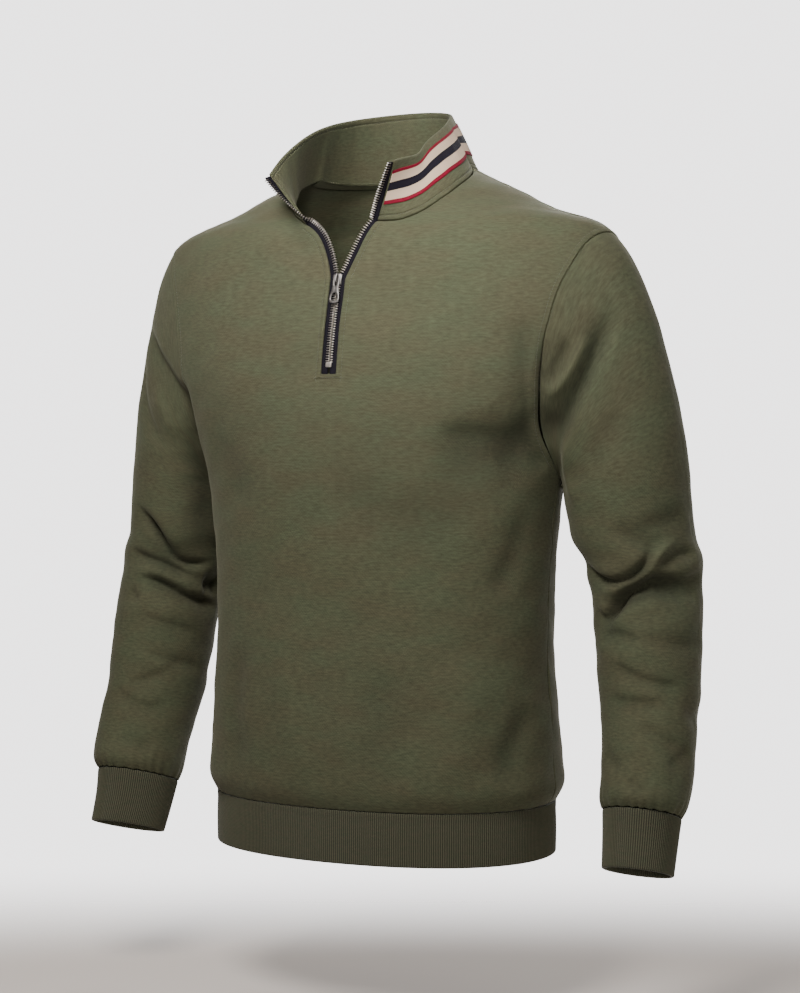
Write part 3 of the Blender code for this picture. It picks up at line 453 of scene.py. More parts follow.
bodyForm = {
    # in mm: height, half width, depth in front and behind, middle Y, rise of the back; and how
    # square, in thousandths
    "rings": (
        (-621.5, 176.5, 121, 119, 0, 0, 30), (-607, 184, 127, 125, 0, 0, 30),
        (-590, 183.8, 128.5, 125.5, 0, 0, 30), (-550, 181.2, 128, 120, 0, 0, 30),
        (-490, 177, 125, 111, 0, 0, 30), (-430, 177, 121, 105, 0, 0, 30),
        (-370, 180.5, 119, 106, 0, 0, 30), (-308, 188.5, 121, 113, 0, 0, 30),
        (-262, 205, 122, 121, 0, 0, 25), (-215, 229, 119, 125, 0, 0, 20),
        (-165, 246, 112, 125, 1, 0, 10), (-112, 252, 101, 120, 3, 0, 10),
        (-72, 240.5, 92.5, 113, 4, 2, 0), (-50, 193, 85, 107.5, 7, 4, 0),
        (-25, 138.5, 69, 91.5, 12, 8, 0), (-8, 101, 44, 72.5, 18, 12, 0),
        (0, 85, 25, 55, 20, 13, 0)),
    "tilt": 0.0030, "tiltLevels": (0.30, 0.52),     # the wearer's left shoulder hangs lower
    "wall": 0.002,
}
ringTable = np.array(bodyForm["rings"]) * 0.001
ringLevels = walked(ringTable[:, :2])


def onForm(turn, level, side, hand=1.0):
    # x = hand * half width * sin(turn), y = middle + side * depth * cos(turn), z = height,
    # where the back also rises with cos^2; side is -1 in front and 1 behind
    turn, level = np.broadcast_arrays(turn, level)
    height, halfWidth, front, back, middle, rise, boxy = np.moveaxis(
        smoothThrough(ringLevels, ringTable, level), -1, 0)
    full = 1.0 + boxy * np.sin(2.0 * turn) ** 2
    x = hand * halfWidth * np.sin(turn) * full
    y = middle + side * (front if side < 0 else back) * np.cos(turn) * full
    z = height + (rise * np.cos(turn) ** 2 if side > 0 else 0.0)
    low, high = bodyForm["tiltLevels"]
    return stacked(x, y, z - bodyForm["tilt"] * x * eased((level - low) / (high - low)))


def formNormals(turn, level, side, hand=1.0):
    # outward: the cross product of small steps round the form and up it
    step = 0.0005
    round_ = onForm(turn + step, level, side, hand) - onForm(turn - step, level, side, hand)
    up = onForm(turn, level + step, side, hand) - onForm(turn, level - step, side, hand)
    return unit(np.cross(round_, up)) * (-side * hand)


def evenLine(drawn, side, shares):
    # a drawn line of (turn in degrees, level), splined and read at even lengths over the form
    drawn = np.array(drawn) * np.array([math.pi / 180.0, 1.0])
    fine = smoothThrough(np.linspace(0.0, 1.0, len(drawn)), drawn, np.linspace(0.0, 1.0, 400))
    points = onForm(*fine.T, side)
    return readAlong(points, shares * walked(points)[-1], fine)


panelLook = {
    "zipEdge": 0.0078,            # the cloth ends this far beside the middle line along the zip
    "slit": 0.4263, "slider": 0.5213, "corner": 0.5870,   # levels: slit starts, chain parts, collar
    "armpit": 0.3160,
    # the open edges swing outwards: edge + a*u + b*u^2, u from 0 at the slider to 1 at the collar
    "swing": {-1: (0.0149, 0.0203), 1: (0.0309, -0.0047)},
    "bend": 0.6,                  # how much the rows bend on their way to the side
    # shares of the way up at which the inner side turns into the neckline (front, back), the
    # outer one into the armhole, and the slit and its open part start
    "neckShare": {-1: 18 / 24, 1: 20 / 24}, "sideTop": 14 / 24, "slitShare": 11 / 24,
    "openShare": 16 / 24,
    # lines drawn on the form, as turn in degrees and level
    "armhole": {
        -1: ((90, 0.3160), (73.5, 0.3469), (64.2, 0.3792), (59.3, 0.4065), (56.8, 0.4280),
             (54.8, 0.4575), (54.8, 0.4802), (56.0, 0.5074), (60.8, 0.5323), (68.8, 0.5527),
             (80.0, 0.5640), (90, 0.5656)),
        1: ((90, 0.3160), (76.0, 0.3450), (68.0, 0.3760), (63.0, 0.4060), (60.5, 0.4360),
            (59.5, 0.4660), (61.0, 0.4960), (65.0, 0.5230), (72.0, 0.5450), (80.5, 0.5590),
            (90, 0.5656))},
    "frontNeck": {
        1: ((13.8, 0.5875), (17.2, 0.5941), (23.0, 0.6140), (30.2, 0.6389), (39.5, 0.6640),
            (50.3, 0.6880), (70.0, 0.7180), (90, 0.7370)),
        -1: ((13.5, 0.5975), (20.2, 0.6275), (27.5, 0.6560), (37.0, 0.6850), (60.0, 0.7160),
             (90, 0.7370))},
    "backNeck": ((0, 0.7130), (30, 0.7170), (60, 0.7280), (90, 0.7370)),
    "close": (0.0005, 0.0011, 0.0018, 0.0030, 0.0042, 0.0050, 0.0058, 0.0066, 0.0080, 0.0100),
    "columns": 50, "halfWidth": 0.27,
}
sideTop, slitShare = panelLook["sideTop"], panelLook["slitShare"]


def slitTurn(level, hand):
    # turn of the front's slit edge: arcsin of its distance from the middle over the half width
    start, end = panelLook["slider"], panelLook["corner"]
    u = np.clip((level - start) / (end - start), 0.0, None)
    a, b = panelLook["swing"][hand]
    halfWidth = smoothThrough(ringLevels, ringTable[:, 1:2], level)[..., 0]
    return np.arcsin((panelLook["zipEdge"] + a * u + b * u * u) / halfWidth)


def frontLevels(share):
    # level of the front's inner edge at a share of the way up the panel
    return np.interp(
        share, [0.0, slitShare, panelLook["openShare"], panelLook["neckShare"][-1]],
        [0.0, panelLook["slit"], panelLook["slider"], panelLook["corner"]])


def neckDrawn(side, hand):
    # the neckline as drawn, from the corner of the slit in front
    corner = panelLook["corner"]
    return panelLook["backNeck"] if side > 0 else (
        (math.degrees(slitTurn(corner, hand)), corner), *panelLook["frontNeck"][hand])


def halfPanel(side, hand, across, along):
    # a net in turn and level from the middle and the neckline, (1 - s) * inner + s * outer, to
    # the side seam and the armhole; its rows bend on the way
    neckShare, neck = panelLook["neckShare"][side], neckDrawn(side, hand)
    low, beside = along <= neckShare + 1e-9, along <= sideTop + 1e-9
    inner, outer = np.zeros((len(along), 2)), np.full((len(along), 2), 0.5 * math.pi)
    if side < 0:
        inner[low, 1] = frontLevels(along[low])
        inner[low, 0] = slitTurn(inner[low, 1], hand)
    else:
        inner[low, 1] = along[low] / neckShare * neck[0][1]
    inner[~low] = evenLine(neck, side, (along[~low] - neckShare) / (1.0 - neckShare))
    outer[beside, 1] = along[beside] / sideTop * panelLook["armpit"]
    outer[~beside] = evenLine(panelLook["armhole"][side], side,
                              (along[~beside] - sideTop) / (1.0 - sideTop))
    s = across[None, :, None]
    bent = s + panelLook["bend"] * s * (1.0 - s) * np.array([0.0, 1.0])
    turn, level = np.moveaxis((1.0 - bent) * inner[:, None] + bent * outer[:, None], -1, 0)
    ring = smoothThrough(ringLevels, ringTable[:, 1:3], level)
    return {"points": onForm(turn, level, side, hand),
            "normals": formNormals(turn, level, side, hand),
            "uv": stacked(hand * turn * ring.mean(axis=-1), level + 0.8 * (side > 0))}


def panelShares(side, stretches):
    # shares of the way up a panel, even between its corners: each stretch has its end, its
    # count of rows, the metres of cloth for a share of one, and which of its ends has fine steps
    shares, start = [[0.0]], 0.0
    for end, count, metres, fineStart, fineEnd in stretches:
        near = close / metres
        first = start + near if fineStart else np.array([start])
        last = end - near[::-1] if fineEnd else np.array([end])
        shares += [first[fineStart ^ 1:], np.linspace(first[-1], last[0], count)[1:], last[1:], [end]]
        start = end
    return np.unique(np.round(np.concatenate(shares), 9))


close = np.array(panelLook["close"])
columnShares = seamSteps(panelLook["halfWidth"], panelLook["columns"], close)
frontNeckShare, backNeckShare = panelLook["neckShare"][-1], panelLook["neckShare"][1]
panelRows = {
    -1: panelShares(-1, ((slitShare, 76, 0.930, 1, 1), (sideTop, 24, 0.456, 1, 0),
                         (frontNeckShare, 42, 1.0, 0, 0), (1.0, 46, 0.620, 0, 1))),
    1: panelShares(1, ((sideTop, 104, 0.930, 1, 0), (backNeckShare, 62, 1.0, 0, 0),
                       (1.0, 34, 0.620, 0, 1)))}
halves = {(side, hand): halfPanel(side, hand, columnShares, panelRows[side])
          for side in (-1, 1) for hand in (-1, 1)}
print("body form laid", len(columnShares), len(panelRows[-1]), len(panelRows[1]))

armForm = {
    # height, x, y, half size the long and the short way in mm, turn of the long way from
    # straight out towards the front in degrees, rise on the way forward in hundredths
    "sections": (
        (-308, 245.5, 29.5, 65, 60, 90, 0), (-330, 248, 30.5, 64, 60, 90, 0),
        (-350, 250, 32, 64, 59.4, 90, 0), (-370, 254.5, 33.5, 64, 58.4, 90, 0),
        (-385, 262.5, 33, 62, 55.5, 90, 0), (-400, 264, 32, 61, 54.5, 88, 2),
        (-415, 266.5, 30, 60, 53, 86, 4), (-432, 268.5, 26.5, 58.5, 52.5, 83, 6),
        (-450, 270.2, 21.8, 57.5, 51.8, 80, 8), (-475, 272.8, 18.8, 56.5, 50, 76, 10),
        (-500, 274.5, 15.8, 55.5, 48.8, 72, 12), (-525, 276.2, 11.5, 54, 47, 70, 15),
        (-550, 278.5, 3.5, 53, 44.7, 70, 19), (-575, 280.8, -4.5, 51, 44, 70, 24),
        (-598, 281.2, -14, 50, 42.5, 70, 28), (-613, 280.8, -19.5, 47.8, 40, 70, 30),
        (-620, 280, -19.5, 44, 36.8, 70, 30)),
    "capRows": 7, "leave": 0.58, "arrive": 0.9, "seam": 0.45, "aim": 0.10,
    "out": (0.80, 0.60, -0.35),          # way out of the armhole: sideways, front, shoulder
    "underarmTurn": 0.32, "underarmEnds": (-0.550, -0.308), "underarmDrop": (0.009, 0.005),
    "around": 168, "rows": 190, "girth": 0.052,
}
armAngles = circle(armForm["around"])


def armOval(section, angles):
    # an ellipse turned by its own angle and tipped forward; angle 0 is outside, 90 the front
    height, x, y, longHalf, shortHalf, turn, lean = section
    turned = math.radians(turn)
    along = np.cos(angles - turned) * longHalf
    across = np.sin(angles - turned) * shortHalf
    px = x + along * math.cos(turned) - across * math.sin(turned)
    py = y - along * math.sin(turned) - across * math.cos(turned)
    return stacked(px, py, height - lean * (py - y))


def armholeRing(count, hand):
    # an armhole from the shoulder down its front to the armpit and up its back, as a left one
    half = np.linspace(0.0, 1.0, count // 2 + 1)
    return np.array([hand, 1.0, 1.0]) * np.concatenate([
        onForm(*evenLine(panelLook["armhole"][side], side, half[::side])[:-1].T, side, hand)
        for side in (-1, 1)])


def sleeveGrid(hand):
    # rings from the armhole to the wrist: a Hermite blend across the cap, then the arm's ovals,
    # with a natural spline down every line of points
    look, angles = armForm, armAngles
    ring = armholeRing(look["around"], hand)
    low, high = look["underarmEnds"]
    sections = np.array(look["sections"]) * np.array([0.001] * 5 + [1.0, 0.01])
    tube = np.array([armOval(section, angles - look["underarmTurn"] * 0.5 * (1.0 - np.cos(angles))
                             * np.clip((section[0] - low) / (high - low), 0.0, 1.0))
                     for section in sections])
    tube[:2, :, 2] += np.outer(look["underarmDrop"], np.cos(angles))
    down = unit(tube[1] - tube[0])
    seam = unit(np.roll(ring, -1, axis=0) - np.roll(ring, 1, axis=0))
    leave = square(unit(tube[0] + np.array([0.0, 0.0, look["aim"]]) - ring), seam)
    sideways, forward, downward = look["out"]
    body = unit(stacked(sideways, forward * np.sin(angles), downward * np.cos(0.5 * angles) ** 2))
    leave = unit(look["seam"] * leave + (1.0 - look["seam"]) * body)
    reach = np.linalg.norm(tube[0] - ring, axis=1, keepdims=True)
    w = np.linspace(0.0, 1.0, look["capRows"] + 1)[:-1, None, None]
    cap = ((2 * w ** 3 - 3 * w ** 2 + 1) * ring + (3 * w ** 2 - 2 * w ** 3) * tube[0]
           + (w ** 3 - 2 * w ** 2 + w) * leave * reach * look["leave"]
           + (w ** 3 - w ** 2) * down * reach * look["arrive"])
    net = np.concatenate([cap, tube]) * np.array([hand, 1.0, 1.0])
    gaps = np.linalg.norm(np.diff(net, axis=0), axis=-1).mean(axis=1)
    length = np.concatenate([[0.0], np.cumsum(gaps)])
    at = seamSteps(length[-1], look["rows"], close) * length[-1]
    points = smoothThrough(length, net, at)
    uv = stacked(angles * look["girth"], -at[:, None] - 1.0 - 0.7 * (hand > 0))
    return {"points": points, "normals": gridNormals(points, wrap=True, turned=hand < 0), "uv": uv}


sleeves = {hand: sleeveGrid(hand) for hand in (-1, 1)}
print("sleeve forms laid", sleeves[1]["points"].shape)

# Creases drawn as seen level from one side of the garment. Each row: the azimuth it is
# seen from in degrees, what it presses, half width and depth in mm (minus stands proud), how
# peaked it is, how much wider on its lower side, and its points in mm across and up.
creases = """
the wearer's left sleeve: folds fanning from the armpit
27 armhole 1 7 -3.6 1.6 0 | 151 -233 168 -214 181 -189 191 -172
27 armhole 1 11 5.6 1.6 -0.3 | 163 -281 166 -256 178 -228 196 -190 214 -148
27 armhole 1 7 3.4 1.6 0 | 133 -160 139 -200 143 -240 152 -284
27 armhole 1 8 3.4 1.5 0 | 151 -226 162 -202 175 -174
27 sleeve 1 8 5.6 1.5 0 | 150 -242 157 -271 163 -305
27 body -1 10 4.8 1.6 0 | 146 -236 150 -268 155 -300
27 sleeve 1 11 1.4 2 0 | 192 -300 206 -272 222 -240
27 sleeve 1 9 -2.4 1.8 0 | 170 -262 170 -285 176 -312 185 -336
27 sleeve 1 10 2 2 0 | 232 -357 256 -350 284 -340
its elbow: two deep folds with rolls between them
27 sleeve 1 7 5.8 1.15 0.5 | 193 -388 200 -401 212 -404 226 -398 237 -390 247 -378 253 -365
27 sleeve 1 6 -3.2 1.6 0 | 196 -402 209 -412 226 -406 241 -398 253 -383 267 -368 283 -360
27 sleeve 1 7 3.6 1.5 0.3 | 253 -390 267 -381 280 -376 296 -378
27 sleeve 1 8 8.4 1.1 0.5 | 200 -430 203 -437 213 -424 222 -414 235 -407 249 -402 269 -401 290 -402
27 sleeve 1 8 -2.4 1.8 0 | 206 -450 222 -433 243 -422 266 -420
27 sleeve 1 8 2.6 1.6 0 | 270 -417 296 -414
27 sleeve 1 8 2.6 1.6 0.2 | 201 -457 212 -452 226 -455 240 -461
and its forearm
27 sleeve 1 8 2.4 1.6 0.4 | 210 -479 223 -486 237 -493 259 -497 279 -501
27 sleeve 1 8 2 1.7 0.3 | 210 -515 234 -513 260 -516
27 sleeve 1 8 2 1.7 0.3 | 233 -531 253 -543 276 -556
27 sleeve 1 8 1.8 1.8 0.2 | 258 -574 273 -564 284 -556
27 sleeve 1 7 1.7 1.8 0.2 | 223 -580 231 -588 240 -594
27 sleeve 1 7 1.8 1.8 0 | 207 -562 211 -570 217 -575
27 sleeve 1 9 -1.4 2 0 | 212 -499 236 -504 262 -507
27 sleeve 1 9 -1.4 2 0 | 224 -548 243 -561 262 -585
the wearer's right sleeve: from the shoulder seam and down its length
27 armhole -1 9 3.8 1.45 0.3 | -250 -146 -232 -185 -210 -222 -195 -250
27 sleeve -1 8 2.2 1.6 0.2 | -264 -172 -249 -230 -225 -278
27 armhole -1 10 4.4 1.6 0 | -206 -206 -194 -246 -184 -284
27 sleeve -1 22 4.6 1.8 0 | -192 -262 -186 -300 -184 -340 -184 -392
27 sleeve -1 10 -1.8 2 0 | -240 -215 -226 -246 -212 -270
its elbow
27 sleeve -1 8 7 1.15 0.4 | -258 -338 -245 -358 -230 -379 -213 -394 -195 -399 -179 -398
27 sleeve -1 6 -3 1.7 0 | -256 -351 -232 -384 -204 -403 -181 -408
27 sleeve -1 7 4 1.4 0.3 | -268 -384 -251 -392 -232 -399 -213 -408 -196 -414
27 sleeve -1 7 6 1.15 0.4 | -258 -413 -241 -416 -223 -423 -204 -432 -187 -441 -178 -447
27 sleeve -1 9 4.5 1.7 0 | -190 -421 -182 -423 -175 -426
27 sleeve -1 7 -2 1.8 0 | -262 -402 -240 -405 -216 -413 -196 -423
27 sleeve -1 6 2 1.7 0 | -268 -426 -256 -436
and its forearm
27 sleeve -1 7 1.7 1.8 0.2 | -262 -450 -240 -457 -214 -465 -192 -474
27 sleeve -1 7 1.7 1.7 0.2 | -258 -485 -236 -494 -212 -503 -192 -514
27 sleeve -1 6 1.5 1.7 0.2 | -270 -522 -250 -518 -230 -511 -212 -500
27 sleeve -1 7 1.6 1.7 0.2 | -284 -527 -266 -539 -244 -546 -224 -542
27 sleeve -1 10 -1.3 2 0 | -262 -487 -240 -500 -218 -517
27 sleeve -1 9 1.8 1.9 0 | -276 -572 -256 -582 -236 -586
front of the body: soft hollows towards the armpits and at the waist
27 body -1 26 4.2 1.9 0.3 | 44 -270 86 -272 122 -271 154 -264
27 body -1 15 3 1.7 0 | 127 -150 131 -200 136 -245 142 -286
27 body -1 22 2.6 1.8 0 | 104 -300 130 -282 156 -262
27 body -1 14 2 2 0 | 138 -340 122 -380 100 -422
27 body -1 8 1.8 1.7 0 | -98 -48 -87 -72 -73 -98
27 body -1 20 2 2 0 | -176 -262 -150 -300 -132 -345
27 body -1 16 2.6 2 0 | 138 -518 123 -554 108 -599
27 body -1 15 2.2 2 0 | -142 -466 -147 -525 -141 -603
27 body -1 18 -1.8 2 0 | -96 -470 -92 -540 -80 -606
27 body -1 22 -2 2 0 | 78 -470 70 -540 56 -604
27 body -1 24 1.6 2 0 | 0 -470 -8 -540 -18 -606
27 body -1 24 1.8 2 0 | -60 -300 -20 -330 40 -340 96 -322
the hidden sides: much the same kinds of folds, as on the sides that show
207 body 1 32 2 2 0 | -164 -250 -124 -282 -64 -296
207 body 1 30 1.9 2 0 | 172 -246 130 -280 70 -300
180 body 1 30 2.6 2 0 | -92 -430 -30 -452 44 -448 100 -424
180 body 1 20 2.4 2 0 | -70 -500 -64 -550 -72 -604
180 body 1 20 2.4 2 0 | 72 -490 66 -548 78 -604
180 body 1 22 -2 2 0 | 4 -500 0 -552 -4 -604
207 armhole 1 10 5 1.6 0.2 | -176 -283 -186 -250 -206 -214
207 armhole 1 9 -2.2 1.8 0 | -168 -244 -184 -216 -204 -192
207 armhole -1 11 2.6 1.7 0.2 | 188 -304 206 -254 230 -196
200 sleeve 1 8 3.4 1.6 0.3 | -214 -388 -236 -398 -262 -396 -288 -386
200 sleeve 1 8 3 1.6 0.3 | -222 -428 -244 -420 -270 -424
200 sleeve 1 9 2 1.8 0 | -226 -500 -252 -508 -278 -504
200 sleeve 1 9 1.8 1.8 0 | -232 -566 -254 -560 -276 -566
160 sleeve -1 8 3.6 1.6 0.3 | 214 -392 238 -402 264 -398 288 -388
160 sleeve -1 8 3 1.6 0.3 | 220 -436 244 -428 272 -430
160 sleeve -1 9 2 1.8 0 | 228 -508 252 -514 278 -510
90 sleeve 1 10 2.4 1.7 0 | -62 -352 -24 -366 18 -362
90 sleeve 1 8 3 1.6 0.3 | -58 -398 -28 -408 10 -404 44 -396
90 sleeve 1 9 2 1.8 0 | -38 -452 -6 -462 30 -456
90 sleeve 1 9 1.8 1.8 0 | -20 -520 8 -530 40 -528
270 sleeve -1 10 2.4 1.7 0 | -16 -340 -48 -356 -78 -352
270 sleeve -1 8 3.2 1.6 0.3 | -10 -392 -36 -402 -66 -406 -90 -398
270 sleeve -1 9 2 1.8 0 | 20 -470 -8 -478 -40 -472
270 sleeve -1 9 1.8 1.8 0 | 28 -542 6 -552 -22 -548
"""
creaseLook = {
    # depth = drawn depth * (the kind's share + gain * drawn depth in mm): deep ones are deepened
    "sleeve": 1.25, "armhole": 1.2, "body": 1.3, "gain": 0.14,
    # painted shade: a crease trough this deep gets the full darkening of the fleece colour
    "fullShadeDepth": 0.011,             # a trough this deep gets the full darker tone
    "clear": 0.016,               # folds fade out this far from an armhole they don't cross
    "reach": 3.2, "fade": 0.32, "start": 0.12,    # in widths, in lengths, and left at the ends
    "calm": 0.03,                 # no swells this near an armhole
    # low swells of slack cloth: length along and across in metres, height, slant
    "swells": ((0.110, 0.160, 0.0006, 0.5), (0.063, 0.088, 0.0004, -0.7),
               (0.037, 0.052, 0.0002, 0.9)),
}


def placeCrease(grids, seenFrom, drawn):
    # each drawn point goes to the nearest grid point that faces the viewer, then a spline
    aside = np.array([math.cos(seenFrom), math.sin(seenFrom)])
    points, normals = (np.concatenate([grid[key].reshape(-1, 3) for grid in grids])
                       for key in ("points", "normals"))
    facing = normals[:, 0] * aside[1] - normals[:, 1] * aside[0]
    miss = ((points[:, :2] @ aside - drawn[:, :1]) ** 2 + (points[:, 2] - drawn[:, 1:]) ** 2
            + (facing < 0.02))
    line = points[np.argmin(miss, axis=1)]
    line = line[np.concatenate([[True], np.diff(walked(line)) > 0.002])]
    walk = walked(line)
    return smoothThrough(walk, line, np.linspace(0.0, walk[-1], 6 * len(line)))


def creaseDepth(grid, line, width, deep, power, lean):
    # depth * fade at both ends * exp(-(away / width)^power), wider on the lower side
    points, reach = grid["points"], creaseLook["reach"] * width
    near = np.all((points > line.min(axis=0) - reach) & (points < line.max(axis=0) + reach),
                  axis=-1)
    depth = np.zeros(near.shape)
    if near.any():
        away, along = distanceTo(points[near], line)
        length = walked(line)[-1]
        below = np.clip((readAlong(line, along)[:, 2] - points[near][:, 2]) / (0.5 * width), -1, 1)
        fade = eased(np.minimum(along, length - along) / (creaseLook["fade"] * length)
                     + creaseLook["start"])
        depth[near] = deep * fade * np.exp(-((away / (width * (1.0 + lean * below))) ** power))
    return depth


seamRings = [np.concatenate([sleeves[hand]["points"][0], sleeves[hand]["points"][0, :1]])
             for hand in (-1, 1)]
grids = [*sleeves.values(), *halves.values()]
for grid in grids:
    grid["armhole"] = np.minimum(*(distanceTo(grid["points"], ring)[0] for ring in seamRings))
    u, v = np.moveaxis(grid["uv"], -1, 0) * math.tau
    grid["sink"] = eased(grid["armhole"] / creaseLook["calm"]) * sum(
        height * np.sin((u + slant * v) / across) * np.sin((v - 0.3 * u) / along + 1.0)
        for along, across, height, slant in creaseLook["swells"])
drawnCreases = [row.split("|") for row in creases.splitlines() if "|" in row]
for start, points in drawnCreases:
    seenFrom, what, number, width, deep, power, lean = start.split()
    number, deep = int(number), float(deep)
    pressed = ([sleeves[number]] if what != "body" else
               [halves[number, hand] for hand in (-1, 1)])
    line = placeCrease(pressed, math.radians(float(seenFrom)),
                       np.array(points.split(), dtype=float).reshape(-1, 2) * 0.001)
    if what == "armhole":
        pressed += [halves[side, number] for side in (-1, 1)]
    deeper = creaseLook[what] + creaseLook["gain"] * abs(deep)
    for grid in pressed:
        clear = 1.0 if what == "armhole" else eased(grid["armhole"] / creaseLook["clear"])
        grid["sink"] += clear * deeper * creaseDepth(
            grid, line, float(width) * 0.001, deep * 0.001, float(power), float(lean))
# painted shade per point, from each trough's depth, which darkens the fleece colour
for grid in grids:
    grid["folds"] = np.clip(grid["sink"] / creaseLook["fullShadeDepth"], 0.0, 1.0)
print("creases pressed", len(drawnCreases))

seamLook = {
    "roll": 0.0013,               # radius of the turned edge
    "welt": 0.0005, "slitWelt": 0.0008,      # the seam allowance lifts the face by this
    "stitch": 0.0050,             # the topstitch runs this far from the armhole seam
    "slitStitch": 0.0058,         # and this far from the zip's edge
    "groove": 0.0008, "grooveWidth": 0.0006, "weltFrom": 0.0004, "weltFade": 0.0012,
    "bartackDrop": 0.0043,        # the line that closes the slit, below its end
    "clear": 0.02,                # folds fade out this near the hem band and the cuffs
    "hemPucker": 0.0004, "hemPitch": 0.0095, "hemWander": 61.0, "hemFade": 0.006,
    "cuffPucker": 0.0008, "cuffWaves": 24.0, "cuffWander": 5.0, "cuffFade": 0.012,
}


def stitchRelief(away, stitch, welt):
    # a groove where the topstitch pulls the face down, less a low welt over the seam allowance
    return seamLook["groove"] * ridge(away - stitch, seamLook["grooveWidth"]) - welt * (
        1.0 - eased((away - stitch + seamLook["weltFrom"]) / seamLook["weltFade"]))


def seamRelief(away):
    # how far the face sinks beside a seam: a quarter round of the turned edge
    return seamLook["roll"] * quarter(away / seamLook["roll"])


def crossing(points, away, distance):
    # the point of each row at which its distance from a seam first passes the given one,
    # walking from the row's seam end: a straight blend of the two grid points beside it
    past = np.argmax(away >= distance, axis=1)
    rows = np.flatnonzero(past > 0)
    past = past[rows]
    before, after = away[rows, past - 1], away[rows, past]
    share = ((distance - before) / (after - before))[:, None]
    return points[rows, past - 1] * (1.0 - share) + points[rows, past] * share, rows, past


for (side, hand), grid in halves.items():
    points = grid["points"]
    neckRow, sideRow, slitRow = (
        int(np.argmax(panelRows[side] >= share - 1e-6))
        for share in (panelLook["neckShare"][side], sideTop, slitShare))
    grid["sideRow"], grid["neckRow"], grid["slitRow"] = sideRow, neckRow, slitRow
    hemAway = distanceTo(points, points[0, ::3])[0]
    wave = math.tau / seamLook["hemPitch"] * points[..., 0] + 2.0 * np.sin(
        seamLook["hemWander"] * points[..., 0])
    sink = grid["sink"] * eased(hemAway / seamLook["clear"])
    sink += seamLook["hemPucker"] * np.exp(-hemAway / seamLook["hemFade"]) * np.sin(wave)
    for edge in (points[:sideRow + 1, -1][::3], points[-1, ::2], points[neckRow:, 0]):
        sink += seamRelief(distanceTo(points, edge)[0])
    sink += seamRelief(hemAway) + seamRelief(grid["armhole"]) + stitchRelief(
        grid["armhole"], seamLook["stitch"], seamLook["welt"])
    if side < 0:
        slit = points[slitRow:neckRow + 1, 0]
        end = slit[:1] - np.array([0.0, 0.0, seamLook["bartackDrop"]])
        grid["slitAway"] = distanceTo(points, np.concatenate([end, slit]))[0]
        sink += seamRelief(distanceTo(points, slit)[0]) + (points[..., 2] > end[0, 2]) * (
            stitchRelief(grid["slitAway"], seamLook["slitStitch"], seamLook["slitWelt"]))
    grid["sink"] = sink
for grid in sleeves.values():
    walk = walked(grid["points"].mean(axis=1))
    fromWrist = (walk[-1] - walk)[:, None]
    pucker = seamLook["cuffPucker"] * np.exp(-fromWrist / seamLook["cuffFade"]) * np.sin(
        seamLook["cuffWaves"] * armAngles + 1.5 * np.sin(seamLook["cuffWander"] * armAngles))
    grid["sink"] = (grid["sink"] * eased(fromWrist / seamLook["clear"]) + seamRelief(fromWrist)
                    + seamRelief(grid["armhole"]) + pucker)
for grid in grids:
    grid["face"] = grid["points"] - grid["normals"] * grid["sink"][..., None]
print("seams turned")


def panelPiece(name, side, quads, strip=None, stripUv=None):
    # both halves of a panel, the right one first, and the strip that joins them
    faces, uvs, folds = ([halves[side, hand][key] for hand in (-1, 1)]
                         for key in ("face", "uv", "folds"))
    if strip is not None:
        faces, uvs, folds = faces + [strip], uvs + [stripUv], folds + [np.zeros(strip.shape[:2])]
    points, uv = (np.concatenate([grid.reshape(-1, grid.shape[-1]) for grid in given])
                  for given in (faces, uvs))
    return makePiece(name + "_fleece", points, np.concatenate(quads), fleece, "fleece", uv, name,
                     folds=np.concatenate([part.ravel() for part in folds]),
                     wall=bodyForm["wall"])


# the front: two halves joined by a strip of columns below the slit
slitRow = halves[-1, 1]["slitRow"]
level = frontLevels(panelRows[-1][:slitRow + 1])[:, None]
turn = slitTurn(level, 1) * np.linspace(-1.0, 1.0, 11)[1:-1]
strip = onForm(turn, level, -1)
below = strip[-1:, :, 2] - strip[..., 2]
sink = seamRelief(below) + (below > 0.004) * 0.5 * sum(
    halves[-1, hand]["sink"][:slitRow + 1, :1] for hand in (-1, 1))
strip = strip - formNormals(turn, level, -1) * sink[..., None]
right = gridNumbers(halves[-1, -1]["face"])
left = right + right.size
between = np.concatenate([right[:slitRow + 1, :1], gridNumbers(strip, start=2 * right.size),
                          left[:slitRow + 1, :1]], axis=1)
front = panelPiece("front", -1, [gridQuads(right, turned=True), gridQuads(left),
                                 gridQuads(between)],
                   strip, stacked(strip[..., 0], level))

# the back: two halves that share the points of the middle line
below = slice(halves[1, 1]["neckRow"] + 1)
middle = 0.5 * (halves[1, -1]["face"][below, 0] + halves[1, 1]["face"][below, 0])
for hand in (-1, 1):
    halves[1, hand]["face"][below, 0] = middle
right = gridNumbers(halves[1, -1]["face"])
left = right + right.size
left[below, 0] = right[below, 0]
back = panelPiece("back", 1, [gridQuads(right), gridQuads(left, turned=True)])

for hand, name in ((1, "left"), (-1, "right")):
    grid = sleeves[hand]
    grid["piece"] = makePiece(
        "sleeve_fleece_" + name, grid["face"],
        gridQuads(gridNumbers(grid["face"], wrap=True), turned=hand < 0), fleece, "fleece",
        grid["uv"], "sleeve_" + name, folds=grid["folds"], wall=bodyForm["wall"])
print("front, back and sleeves made")

bandLook = {
    "pitch": 0.0021,              # one rib and one valley
    "relief": 0.00050, "swell": 0.0006,
    "fold": 0.0015,               # radius of the folded lower edge
    "rows": 20,
}
rollTurn = np.radians(np.array([0.0, 30.0, 60.0, 90.0]))
rollSection = stacked(1.0 - np.cos(rollTurn), 1.0 - np.sin(rollTurn))


